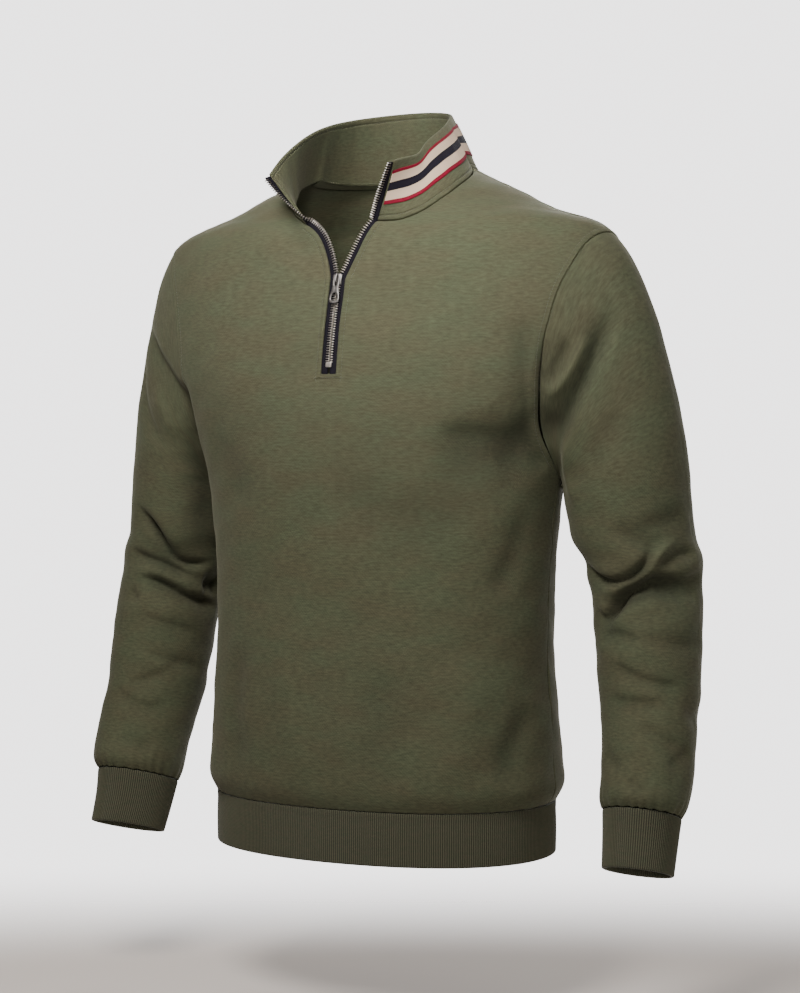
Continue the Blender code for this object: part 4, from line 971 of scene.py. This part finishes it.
def bandSection(height):
    # a folded band in section, as (length down, sink under the face): face, round fold, inside
    r, roll = bandLook["fold"], seamLook["roll"] * 0.8
    straight = np.linspace(roll, height - r, bandLook["rows"])[1:]
    bend = np.radians(np.arange(15.0, 181.0, 15.0))
    return np.concatenate([
        roll * rollSection,
        stacked(straight, -bandLook["swell"] * np.sin(math.pi * straight / height)),
        stacked(height - r + r * np.sin(bend), r * (1.0 - np.cos(bend))),
        stacked(np.linspace(height - r, 0.0, 9)[1:], 2.0 * r)])


def ribbedBand(name, ringAt, height, hand, node):
    # ringAt(angles, share down) gives points; angles are spaced so that every rib is as wide
    fine = np.linspace(0.0, math.tau, 1441)
    walk = walked(ringAt(fine, np.full(1, 0.5))[0])
    count = 4 * int(round(walk[-1] / bandLook["pitch"]))
    angles = np.interp(np.arange(count) / count * walk[-1], walk, fine)
    section = bandSection(height)
    points = ringAt(angles, section[:, 0] / height)
    normals = gridNormals(ringAt(angles, np.linspace(0.0, 1.0, 12)), wrap=True, turned=hand < 0)
    at = np.clip(section[:, 0] / height, 0.0, 1.0) * 11.0
    low = np.clip(at.astype(int), 0, 10)
    part = (at - low)[:, None, None]
    normals = unit(normals[low] * (1.0 - part) + normals[low + 1] * part)
    outer = np.where(section[:, 1:] < bandLook["fold"], 1.0, -1.0)
    ribs = bandLook["relief"] * np.cos(0.5 * math.pi * np.arange(count))
    sink = section[:, 1:] - outer * ribs * eased(section[:, :1] / 0.0015)
    numbers = gridNumbers(points, wrap=True)
    uv = stacked(np.arange(count) * 0.25 * bandLook["pitch"], walked(section)[:, None])
    return makePiece(name, points - normals * sink[..., None], gridQuads(
        np.concatenate([numbers, numbers[:1]]), turned=hand < 0), rib, "rib", uv, node), walk[-1]


hemForm = np.array(((0.0, 0.1765, 0.1210, 0.1190), (0.16, 0.1757, 0.1205, 0.1185),
                    (1.0, 0.1760, 0.1210, 0.1190)))      # share down, half width, depth in front, behind
hemHeights = (-0.6218, -0.6727)
# the wrist's oval, as in armForm's sections
cuffForm = np.array(((-0.6204, 0.2800, -0.0197, 0.0438, 0.0366, 70, 0.30),
                     (-0.6400, 0.2805, -0.0250, 0.0410, 0.0345, 70, 0.30),
                     (-0.6720, 0.2820, -0.0365, 0.0395, 0.0330, 70, 0.30)))


def hemRing(angles, shares):
    # the body's lowest ring carried down; angle 0 is the front's middle
    halfWidth, front, back = (np.interp(shares, hemForm[:, 0], hemForm[:, k])[:, None]
                              for k in (1, 2, 3))
    full = 1.0 + 0.030 * np.sin(2.0 * angles) ** 2
    depth = np.where(np.cos(angles) > 0.0, front, back)
    z = (hemHeights[0] + (hemHeights[1] - hemHeights[0]) * shares)[:, None]
    return stacked(halfWidth * np.sin(angles) * full, -depth * np.cos(angles) * full, z)


def cuffRing(hand):
    # the wrist's oval, its place and size splined down the cuff
    share = (cuffForm[:, 0] - cuffForm[0, 0]) / (cuffForm[-1, 0] - cuffForm[0, 0])
    return lambda angles, shares: np.stack([
        armOval(row, angles) for row in smoothThrough(share, cuffForm, np.clip(shares, 0.0, 1.0))
    ]) * np.array([hand, 1.0, 1.0])


hem, hemRound = ribbedBand("hem_rib", hemRing, hemHeights[0] - hemHeights[1], -1, "hem_band")
cuffs = {}
for hand, name in ((1, "left"), (-1, "right")):
    cuffs[hand], cuffRound = ribbedBand(
        "cuff_rib_" + name, cuffRing(hand), cuffForm[0, 0] - cuffForm[-1, 0], hand, "cuff_" + name)
print("ribbed bands made")

collarLook = {
    # upper edge from the right-hand front end round the back: thousandths of the way, and
    # x, y, z in mm
    "top": (
        (0, -79, -90.5, -9), (60, -76.5, -69, 9.5), (135, -72, -39, 29), (225, -68.5, 0, 46),
        (335, -56, 43, 59), (425, -31, 70, 65.8), (510, 4, 81.5, 68), (600, 37, 69, 62.5),
        (675, 51, 40, 52), (745, 57, 16, 41.5), (820, 59, -11, 28.5), (880, 60.5, -33, 17),
        (930, 62.5, -54, 5), (970, 60, -78, -0.5), (1000, 57, -94, -5)),
    "bow": 0.0010, "spread": 0.0030, "wall": 0.0035,
    "lift": 0.0006,               # clear of the body's neckline
    "columns": 190,
    "bandStitch": 0.0055,         # above the neck seam
    "edgeStitch": 0.0056,         # below the upper edge, inside
    "frontStitch": 0.0028,        # beside the zip
    "stripes": (0.27, 0.845),     # shares of the height
    "stripeEnd": 0.0020,
    # the seam allowance, which hangs inside the neckline, as (length up, sink)
    "allowance": ((-0.0015, 0.00352), (-0.0040, 0.00360), (-0.0044, 0.00335),
                  (-0.0040, 0.00305), (-0.0012, 0.00290), (0.0, 0.00260)),
}


def neckLine(hand, side):
    # the neckline from the slit (or the back's middle) to the shoulder seam
    return onForm(*evenLine(neckDrawn(side, hand), side, np.linspace(0.0, 1.0, 160)).T, side, hand)


neckPath = np.concatenate([
    neckLine(-1, -1), neckLine(-1, 1)[-2::-1], neckLine(1, 1)[1:], neckLine(1, -1)[-2::-1]])
collarLength = walked(neckPath)[-1]


def collarFace(shares, heights):
    # bottom + (top - bottom) * height, pushed outwards by a bow and a spread; rows go up
    look, rows = collarLook, np.array(collarLook["top"]) / 1000.0

    def edges(at):
        return readAlong(neckPath, at * collarLength), smoothThrough(rows[:, 0], rows[:, 1:], at)

    # the seam's corners at the shoulders are eased out of the outward directions
    fine = np.linspace(0.0, 1.0, 200)
    bottom, top = edges(fine)
    outward = unit(np.cross(top - bottom, np.gradient(bottom, axis=0) + np.gradient(top, axis=0)))
    kernel = np.hanning(13) / np.hanning(13).sum()
    outward = unit(np.stack([
        np.interp(shares, fine, np.convolve(np.pad(column, 6, mode="edge"), kernel, mode="valid"))
        for column in outward.T], axis=-1))
    bottom, top = edges(shares)
    h = np.asarray(heights)[:, None, None]
    push = look["bow"] * 4.0 * h * (1.0 - h) + look["spread"] * h
    lifted = bottom + unit(top - bottom) * look["lift"]
    return lifted + (top - lifted) * h + outward * push, outward


def collarSwell(along):
    # 0.5 mm of slack cloth: two sines multiplied
    return 0.0005 * np.sin(math.tau * along / 0.045) * np.sin(
        math.tau * along / 0.071 + 1.0)


collarShares = seamSteps(collarLength, collarLook["columns"], close)
collarAlong = collarShares * collarLength
grid = collarFace(collarShares, np.linspace(0.0, 1.0, 33))[0]
meanHeight = float(np.linalg.norm(np.diff(grid, axis=0), axis=-1).sum(axis=0).mean())
wall, radius, roll = collarLook["wall"], 0.5 * collarLook["wall"], seamLook["roll"]
bend = np.radians(np.arange(0.0, 181.0, 22.5))
fineSteps = np.array([-0.0014, -0.0007, 0.0, 0.0007, 0.0014])
# the section as (length up from the seam, sink under the outer face)
upFace = np.concatenate([roll * rollSection, stacked(np.unique(np.concatenate([
    np.linspace(roll, meanHeight - radius, 26)[1:-1], collarLook["bandStitch"] + fineSteps])), 0.0)])
crown = stacked(meanHeight - radius + radius * np.sin(bend), radius * (1.0 - np.cos(bend)))
downFace = stacked(np.unique(np.concatenate([
    np.linspace(0.0, meanHeight - radius, 20)[:-1],
    meanHeight - collarLook["edgeStitch"] + fineSteps]))[::-1], wall)
allowance = np.array(collarLook["allowance"])
collarSection = np.concatenate([upFace, crown, downFace, allowance])
up, inset = collarSection[:, :1], collarSection[:, 1:]
facePoints = collarFace(collarShares, collarSection[:, 0] / meanHeight)[0]
sectionNormals = gridNormals(facePoints[:len(upFace)], turned=True)[
    np.clip(np.searchsorted(upFace[:, 0], collarSection[:, 0]), 2, len(upFace) - 1)]
ends = np.minimum(collarAlong, collarLength - collarAlong)
within, groove = inset > radius, seamLook["groove"]
sink = inset + np.where(within, -1.0, 1.0) * groove * ridge(ends - collarLook["frontStitch"], 0.0006)
sink += ~within * (groove * ridge(up - collarLook["bandStitch"], 0.0006) - 0.0004 * np.sin(
    math.pi * np.clip(up / collarLook["bandStitch"], 0.0, 1.0)))
sink -= within * groove * ridge(meanHeight - up - collarLook["edgeStitch"], 0.0007)
sink += collarSwell(collarAlong) * np.sin(math.pi * np.clip(up / meanHeight, 0.0, 1.0))
sink = radius + (sink - radius) * (1.0 - quarter(ends / radius))
collarPoints = facePoints - sectionNormals * sink[..., None]
numbers = gridNumbers(collarPoints)
collar = makePiece(
    "collar_fleece", collarPoints, gridQuads(np.concatenate([numbers, numbers[:1]]), turned=True),
    fleece, "fleece", stacked(collarAlong, walked(collarSection)[:, None] + 3.0), "collar")

# the striped tape: a woven strip laid on the collar's face, its edges turned down
tapeLook = {"height": 0.0010, "edge": 0.0007, "turn": 0.0006, "wall": 0.0008,
            "close": (0.0004, 0.0008, 0.0014)}
stripeWidth = stripeLook["width"]
low, high = collarLook["stripes"]
end = collarLook["stripeEnd"] / collarLength
tapeShares = end + (1.0 - 2.0 * end) * seamSteps(collarLength, 170, tapeLook["close"])
tapeHeights = low + (high - low) * seamSteps(stripeWidth, 22, tapeLook["close"])
tapeFace = collarFace(tapeShares, tapeHeights)[0]
along, v = tapeShares * collarLength, ((tapeHeights - low) / (high - low) * stripeWidth)[:, None]
fromEdge = np.minimum(np.minimum(v, stripeWidth - v), np.minimum(
    tapeShares - end, 1.0 - end - tapeShares) * collarLength)
lift = tapeLook["height"] - tapeLook["turn"] * quarter(fromEdge / tapeLook["edge"]) - (
    collarSwell(along) * np.sin(math.pi * tapeHeights)[:, None])
tape = makePiece(
    "collar_striped_tape", tapeFace + gridNormals(tapeFace, turned=True) * lift[..., None],
    gridQuads(gridNumbers(tapeFace), turned=True), stripes, "striped_tape", stacked(along, v),
    "collar_tape", wall=tapeLook["wall"])
print("collar made", round(collarLength, 4), round(meanHeight, 4))

zipLook = {
    "section": (                  # the tape in section: across from the cloth, under its face
        (-0.0007, 0.0005), (0.0020, 0.0005), (0.0046, 0.0005), (0.0055, 0.0004), (0.0061, 0.0003),
        (0.0065, 0.0005), (0.0067, 0.0010), (0.0065, 0.0015), (0.0061, 0.0017), (0.0055, 0.0016),
        (0.0046, 0.0014), (0.0020, 0.0014), (-0.0007, 0.0014)),
    "pitch": 0.0025,              # a number 5 chain has about ten teeth to the inch on each side
    "toothAt": 0.0063, "toothDepth": 0.0007,
    "tooth": (0.0023, 0.00046, 0.00130),
    "stopFromEnd": 0.0060, "stop": (0.0031, 0.0026, 0.0009), "stopUnder": 0.0014,
    "bare": (0.0006, 0.0010),     # tape without teeth over the stop and at the top
    "step": 0.001, "easeWay": 15, "easePath": 5,
    "middle": 0.001,              # the tape's middle, in from the face
    "slope": 0.018,               # length that gives the zip's direction at a place
}


def sweep(path, sideways, outwards, section):
    # a closed section (side, out) carried along a path; its ends are pinched shut
    return closedShape(path[:, None] + sideways[:, None] * section[None, :, :1]
                       + outwards[:, None] * section[None, :, 1:], pinch=True)


def smoothedAlong(values, width):
    # a Hann-weighted moving mean; the ends are carried on straight first
    kernel = np.hanning(width + 2)[1:-1]
    half = width // 2
    padded = np.concatenate([2.0 * values[:1] - values[half:0:-1], values,
                             2.0 * values[-1:] - values[-2:-half - 2:-1]])
    return np.stack([np.convolve(column, kernel / kernel.sum(), mode="valid")
                     for column in padded.T], axis=-1)


def zipPath(hand):
    # the cloth edge that carries one side of the zip: up the slit, then up the collar's front,
    # with directions away from the cloth and outwards, eased over the corner between them
    levels = np.linspace(panelLook["slit"] - 0.0008, panelLook["corner"], 160)
    turns = slitTurn(levels, hand)
    edge = onForm(turns, levels, -1, hand)
    face, faceOut = collarFace(np.array([0.0, 0.006] if hand < 0 else [1.0, 0.994]),
                               np.linspace(0.02, 0.985, 60))
    path = np.concatenate([edge, face[:, 0]])
    away = np.concatenate([unit(onForm(turns - 0.01, levels, -1, hand) - edge),
                           unit(face[:, 0] - face[:, 1])])
    outward = np.concatenate([formNormals(turns, levels, -1, hand),
                              np.repeat(faceOut[:1], len(face), axis=0)])
    even = np.arange(0.0, walked(path)[-1], zipLook["step"])
    away, outward = (unit(smoothedAlong(readAlong(path, even, way), zipLook["easeWay"]))
                     for way in (away, outward))
    path = smoothedAlong(readAlong(path, even), zipLook["easePath"])
    along = unit(np.gradient(path, axis=0))
    away = square(away, along)
    return path, away, square(square(outward, along), away), along


toothShape, toothQuads = roundedBlock(zipLook["tooth"], 0.35, 10, 6, taper=0.3)
section = np.array(zipLook["section"]) * np.array([1.0, -1.0])
for hand, name in ((1, "left"), (-1, "right")):
    path, away, outward, along = zipPath(hand)
    lengths = walked(path)
    piece = makePiece(
        "zip_tape_woven_" + name, *sweep(path, away, outward, section), zipCloth, "zip_tape",
        stacked(section[:, 0], np.pad(lengths, 1, mode="edge")[:, None]), "zip_tape_" + name)
    first = zipLook["stopFromEnd"] + 2.0 * zipLook["stop"][1] + zipLook["bare"][0]
    first += 0.5 * zipLook["pitch"] * (hand < 0)
    places = np.arange(first, lengths[-1] - zipLook["bare"][1], zipLook["pitch"])
    at, side, out, rise = (readAlong(path, places, way) for way in (path, away, outward, along))
    makePiece("zip_teeth_" + name, *blocksAlong(
        toothShape, toothQuads, at + side * zipLook["toothAt"] - out * zipLook["toothDepth"],
        (side, rise, out)), toothMetal, "zip_metal")
print("zip tapes and teeth made", len(places))


def zipPlace(level):
    # middle of the closed zip at a level, with its directions across, down and out
    here, below = (onForm(slitTurn(np.array([at]), 1), np.array([at]), -1)[0] * np.array([0, 1, 1])
                   for at in (level, level - zipLook["slope"]))
    across, down = np.array([-1.0, 0.0, 0.0]), unit(below - here)
    out = np.cross(across, down)
    return here - out * zipLook["middle"], np.array([across, down, out])


def castPiece(name, parts, origin, axes, material, stands, body="garment"):
    # shapes drawn as (across, down, out), laid at a place on the zip and joined
    placed = [origin + points @ axes for points, quads in parts]
    makePiece(name, *joined([(points, outwardQuads(points, quads))
                             for points, (_, quads) in zip(placed, parts)]),
              material, "zip_metal", None, stands, body)


sliderLook = {
    "halfWidth": 0.0052, "ends": (-0.0048, 0.0077), "crown": -0.001,
    "taper": (0.88, 1.0, 0.80),
    # a plate in section: share of the outline, height over the middle of the tape
    "plate": ((0.0, 0.0027), (0.45, 0.00265), (0.80, 0.0025), (0.93, 0.0023), (1.0, 0.0019),
              (1.0, 0.0015), (0.95, 0.0012), (0.4, 0.0012), (0.0, 0.0012)),
    "bridge": (0.0011, 0.0009, 0.0015), "bridgeAt": (0.0, -0.0041, 0.0),
    "rail": (0.00055, 0.0030, 0.0006), "railAt": (0.0040, 0.0040, 0.0009),
    "bail": (-0.0042, 0.0058, 0.0053), "bailFoot": 0.0020,    # from, to, height of its middle line
    "bailSection": (0.0009, 0.00055),
}


def sliderPlate(sign):
    # a superellipse outline that narrows to its end, scaled in to its middle over a soft crown
    low, high = sliderLook["ends"]
    share, height = np.array(sliderLook["plate"]).T[..., None]
    theta, middle = circle(32), 0.5 * (low + high)
    down = 0.5 * (high - low) * squared(np.sin(theta), 0.55)
    wide = sliderLook["halfWidth"] * np.interp(
        middle + down, [low, sliderLook["crown"], high], sliderLook["taper"])
    return closedShape(stacked(
        wide * squared(np.cos(theta), 0.5) * share, middle + down * share, sign * height))


def squareRing(count, half, power):
    # a flat ring of (side, out), squared up
    theta = circle(count)
    return stacked(half[0] * squared(np.cos(theta), power), half[1] * squared(np.sin(theta), power))


parts = [sliderPlate(1.0), sliderPlate(-1.0)]
for block, at, sides in (("bridge", "bridgeAt", (1,)), ("rail", "railAt", (-1, 1))):
    points, quads = roundedBlock(sliderLook[block], 0.5, 12, 8)
    parts += [(points + np.array(sliderLook[at]) * np.array([side, 1.0, face]), quads)
              for side in sides for face in sides]
low, high, crest = sliderLook["bail"]
swing, foot = np.linspace(math.pi, 0.0, 25), sliderLook["bailFoot"]
bailPath = stacked(0.0, 0.5 * (low + high) + 0.5 * (high - low) * squared(np.cos(swing), 0.6),
                   foot + (crest - foot) * np.abs(np.sin(swing)) ** 0.5)
sideways = np.broadcast_to(np.array([1.0, 0.0, 0.0]), bailPath.shape)
parts.append(sweep(bailPath, sideways, np.cross(unit(np.gradient(bailPath, axis=0)), sideways),
                   squareRing(12, sliderLook["bailSection"], 0.6)))
origin, axes = zipPlace(panelLook["slider"])
castPiece("zip_slider_cast", parts, origin, axes, sliderMetal, "zip_slider")

pullLook = {
    "axis": (0.0, -0.0023, 0.0036), "half": 0.0007, "overlap": 0.992,
    # in 0.1 mm: down from the bar, half width outside and inside; an inside under zero fills
    # the middle
    "rows": (
        (-9, 14, -8), (-7, 27, -12), (0, 35, -12), (6, 37, -12), (8, 37, 8), (13, 37, 14),
        (60, 38, 14), (104, 36, 13), (112, 36, 8), (114, 36, -12), (140, 36, -14), (178, 43, -14),
        (182, 44, 8), (192, 47, 24), (216, 52, 32), (240, 55, 34), (254, 53, 28), (260, 52, 12),
        (262, 51, -14), (275, 43, -14), (283, 29, -10), (286, 14, -5)),
}


def pullLeg(side):
    # a squared oval between the inside and the outside edge, carried down the tab
    down, outside, inside = np.array(pullLook["rows"]).T[..., None] * 0.0001
    half = pullLook["half"] * (1.0 if side > 0 else pullLook["overlap"])
    x, z = squareRing(16, (1.0, half), 0.45).T
    x = 0.5 * (outside + inside) + 0.5 * (outside - inside) * x
    return closedShape(stacked(side * x, down, z), pinch=True)


castPiece("zip_pull_tab", [pullLeg(-1), pullLeg(1)], origin + np.array(pullLook["axis"]) @ axes,
          axes, sliderMetal, "zip_pull", body="pull")

axes = zipPlace(panelLook["slit"] + 0.010)[1]
centre = (0.0, -(zipLook["stopFromEnd"] + zipLook["stop"][1]), zipLook["stopUnder"])
castPiece("zip_stop_clamp", [roundedBlock(zipLook["stop"], 0.35, 20, 12)],
          zipPlace(panelLook["slit"])[0] + np.array(centre) @ axes, axes, toothMetal,
          "zip_bottom_stop")
print("slider, pull tab and stop made")

stitchLook = {"pitch": 0.0031, "half": (0.00120, 0.00027, 0.00022), "lift": 0.00012,
              "bartackPitch": 0.0017, "bartackHalf": 0.0136}
stitchShape, stitchQuads = roundedBlock(stitchLook["half"], 0.8, 6, 5)


def sewLine(path, outward, pitch=stitchLook["pitch"]):
    # stitches laid end to end: each lies along the line, flat on the cloth
    places = np.arange(0.5 * pitch, walked(path)[-1], pitch)
    along = unit(readAlong(path, places + 0.0004) - readAlong(path, places - 0.0004))
    up = unit(readAlong(path, places, outward))
    return blocksAlong(stitchShape, stitchQuads, readAlong(path, places) + up * stitchLook["lift"],
                       (along, unit(np.cross(up, along)), up))


def sewPiece(name, lines):
    # all the lines of one seam in one piece
    makePiece(name, *joined([sewLine(*line) for line in lines]), thread, "fleece")


def seamLine(grid, rows, away, distance, way=1):
    # a line beside a seam on the face, with the outward directions along it
    line, which, column = crossing(grid["face"][rows, ::way], grid[away][rows, ::way], distance)
    return line, grid["normals"][rows, ::way][which, column]


turns = np.linspace(-1.0, 1.0, 40) * stitchLook["bartackHalf"] / 0.205
levels = np.full(40, panelLook["slit"] - seamLook["bartackDrop"])
tackOut = formNormals(turns, levels, -1)
sewPiece("slit_topstitch", [
    *(seamLine(grid, slice(grid["slitRow"] - 6, grid["neckRow"]), "slitAway",
               seamLook["slitStitch"]) for grid in (halves[-1, -1], halves[-1, 1])),
    (onForm(turns, levels, -1) + tackOut * 0.0001, tackOut, stitchLook["bartackPitch"])])
sewPiece("armhole_topstitch", [
    seamLine(halves[side, hand], slice(halves[side, hand]["sideRow"] + 2, len(panelRows[side]) - 6),
             "armhole", seamLook["stitch"], -1) for hand in (-1, 1) for side in (-1, 1)])
columns = slice(6, -6)
bandRow, edgeRow = (
    int(np.argmin(np.abs(up - at)[:, 0] + unseen[:, 0])) for at, unseen in (
        (collarLook["bandStitch"], within), (meanHeight - collarLook["edgeStitch"], ~within)))
collarLines = [(collarPoints[bandRow, columns], sectionNormals[bandRow, columns]),
               (collarPoints[edgeRow, columns], -sectionNormals[edgeRow, columns])]
outside = slice(5, len(upFace) - 1)
inner = slice(len(upFace) + len(crown) + 3, len(collarSection) - len(allowance) - 2)
nearEnd = int(np.argmin(np.abs(ends[:50] - collarLook["frontStitch"])))
for column in (nearEnd, len(ends) - 1 - nearEnd):
    collarLines += [(collarPoints[outside, column], sectionNormals[outside, column]),
                    (collarPoints[inner, column], -sectionNormals[inner, column])]
sewPiece("collar_topstitch", collarLines)

# a strip of the same cloth covers the neck seam inside the back
neckTapeLook = {
    "thick": 0.0008, "under": 0.0026,
    # down from the seam and how far the lower edge is turned, in 0.1 mm
    "drop": (-16, -2, 4, 10, 30, 55, 80, 100, 106, 110), "turned": (0, 0, 0, 0, 0, 0, 0, 0, 3, 9),
}
drop, turnedEdge = (np.array(neckTapeLook[key])[:, None] * 0.0001 for key in ("drop", "turned"))
turn, level = evenLine(neckDrawn(1, 1), 1, np.linspace(0.0, 1.0, 90)).T
turn, level = np.broadcast_arrays(turn, level - drop)
inward = (bodyForm["wall"] + neckTapeLook["under"] - turnedEdge)[..., None]
right, left = (onForm(turn, level, 1, hand) - formNormals(turn, level, 1, hand) * inward
               for hand in (-1, 1))
stripPoints = np.concatenate([right[:, ::-1], left[:, 1:]], axis=1)
lengths = walked(stripPoints[3])
neckTape = makePiece(
    "neck_tape", stripPoints, gridQuads(
        gridNumbers(stripPoints), turned=gridNormals(stripPoints)[5, 90, 1] > 0.0),
    fleece, "fleece", stacked(lengths, drop + 4.0), wall=neckTapeLook["thick"])
print("topstitching and neck tape made")


cameraLook = {"azimuth": math.radians(27.0), "distance": 2.2, "height": -0.28, "lens": 79.76,
              "shift": (0.0156, -0.0468)}
azimuth = cameraLook["azimuth"]

# pale ground under the garment that fades out into the backdrop's colour
groundLook = {"height": -0.82, "solid": 0.13, "gone": 0.70, "wide": 3.3, "colour": "#ABA198",
              "radius": 1.3}


def fadingGround(tree, look):
    # a plain floor that thins out, to alpha 0, over an oval that is widest across the view
    flat = addNode(tree, "Mapping", {
        "Vector": addNode(tree, "TexCoord").node.outputs["Object"],
        "Location": (0.0, 0.0, look["height"]), "Rotation": (0.0, 0.0, azimuth),
        "Scale": (look["wide"], 1.0, 1.0)}, vector_type="TEXTURE")
    distance = addNode(tree, "VectorMath", {0: flat}, operation="LENGTH")
    return {"Base Color": look["colour"], "Alpha": addNode(tree, "MapRange", {
        "Value": distance, "From Min": look["solid"], "From Max": look["gone"], "To Min": 1.0,
        "To Max": 0.0}, interpolation_type="SMOOTHSTEP")}


def place(name, kind, at=(0.0, 0.0, 0.0), turned=(0.0, 0.0, 0.0)):
    # a mesh, light or camera as an object of the scene
    thing = bpy.data.objects.new(name, kind)
    thing.location, thing.rotation_euler = at, turned
    bpy.context.scene.collection.objects.link(thing)
    return thing


radii, turns = np.linspace(0.0, groundLook["radius"], 14)[:, None], circle(64)
groundPoints = stacked(radii * np.cos(turns), radii * np.sin(turns), groundLook["height"])
mesh = bpy.data.meshes.new("ground")
mesh.from_pydata(groundPoints.reshape(-1, 3).tolist(), [],
                 gridQuads(gridNumbers(groundPoints, wrap=True), turned=True).tolist())
mesh.materials.append(makeMaterial("pale_studio_ground", fadingGround, groundLook, 0.8))
place("ground", mesh)

lightLook = {
    # name: place, aimed at, size in metres, watts, spread in degrees
    "key": ((0.06, -0.92, 0.64), (0.0, 0.0, -0.12), 0.6, 31.0, 180.0),
    "fill": ((1.55, -1.90, -0.48), (0.0, 0.0, -0.45), 0.8, 23.0, 180.0),
    "throat": ((0.72, -1.60, 0.16), (0.0, 0.03, 0.0), 0.3, 0.60, 24.0),
    "side": ((2.40, 0.30, 0.70), (0.0, 0.0, -0.30), 1.2, 3.0, 180.0),
    "behind": ((-0.80, 2.30, 1.30), (0.0, 0.0, -0.25), 1.2, 42.0, 180.0),
}
for name, (at, aim, size, watts, spread) in lightLook.items():
    lamp = bpy.data.lights.new(name, "AREA")
    lamp.shape, lamp.size, lamp.energy, lamp.spread = "DISK", size, watts, math.radians(spread)
    place(name, lamp, at, (Vector(aim) - Vector(at)).to_track_quat("-Z", "Y").to_euler())

# the room: a bright backdrop behind the garment, dimmer on the other side
roomLook = {"colour": "#E6E4E4", "towards": (-0.259, 0.966, 0.0), "bright": 3.8, "dim": 0.42,
            "edges": (0.55, 0.91)}
world = bpy.data.worlds.new("studio_room")
world.use_nodes = True
tree = world.node_tree
backdrop = tree.nodes["Background"]
backdrop.inputs["Color"].default_value = linearColour(roomLook["colour"])
facing = addNode(tree, "VectorMath", {
    0: addNode(tree, "TexCoord").node.outputs["Generated"], 1: roomLook["towards"]},
    operation="DOT_PRODUCT")
level = addNode(tree, "MapRange", {
    "Value": facing, "From Min": roomLook["edges"][0], "From Max": roomLook["edges"][1],
    "To Min": roomLook["dim"], "To Max": roomLook["bright"]}, interpolation_type="SMOOTHSTEP")
tree.links.new(level, backdrop.inputs["Strength"])
bpy.context.scene.world = world

lens = bpy.data.cameras.new("camera")
lens.lens, lens.sensor_width = cameraLook["lens"], 36.0
lens.shift_x, lens.shift_y = cameraLook["shift"]
bpy.context.scene.camera = place("camera", lens, (
    cameraLook["distance"] * math.sin(azimuth), -cameraLook["distance"] * math.cos(azimuth),
    cameraLook["height"]), (0.5 * math.pi, 0.0, azimuth))
print("ground, lights and camera placed")
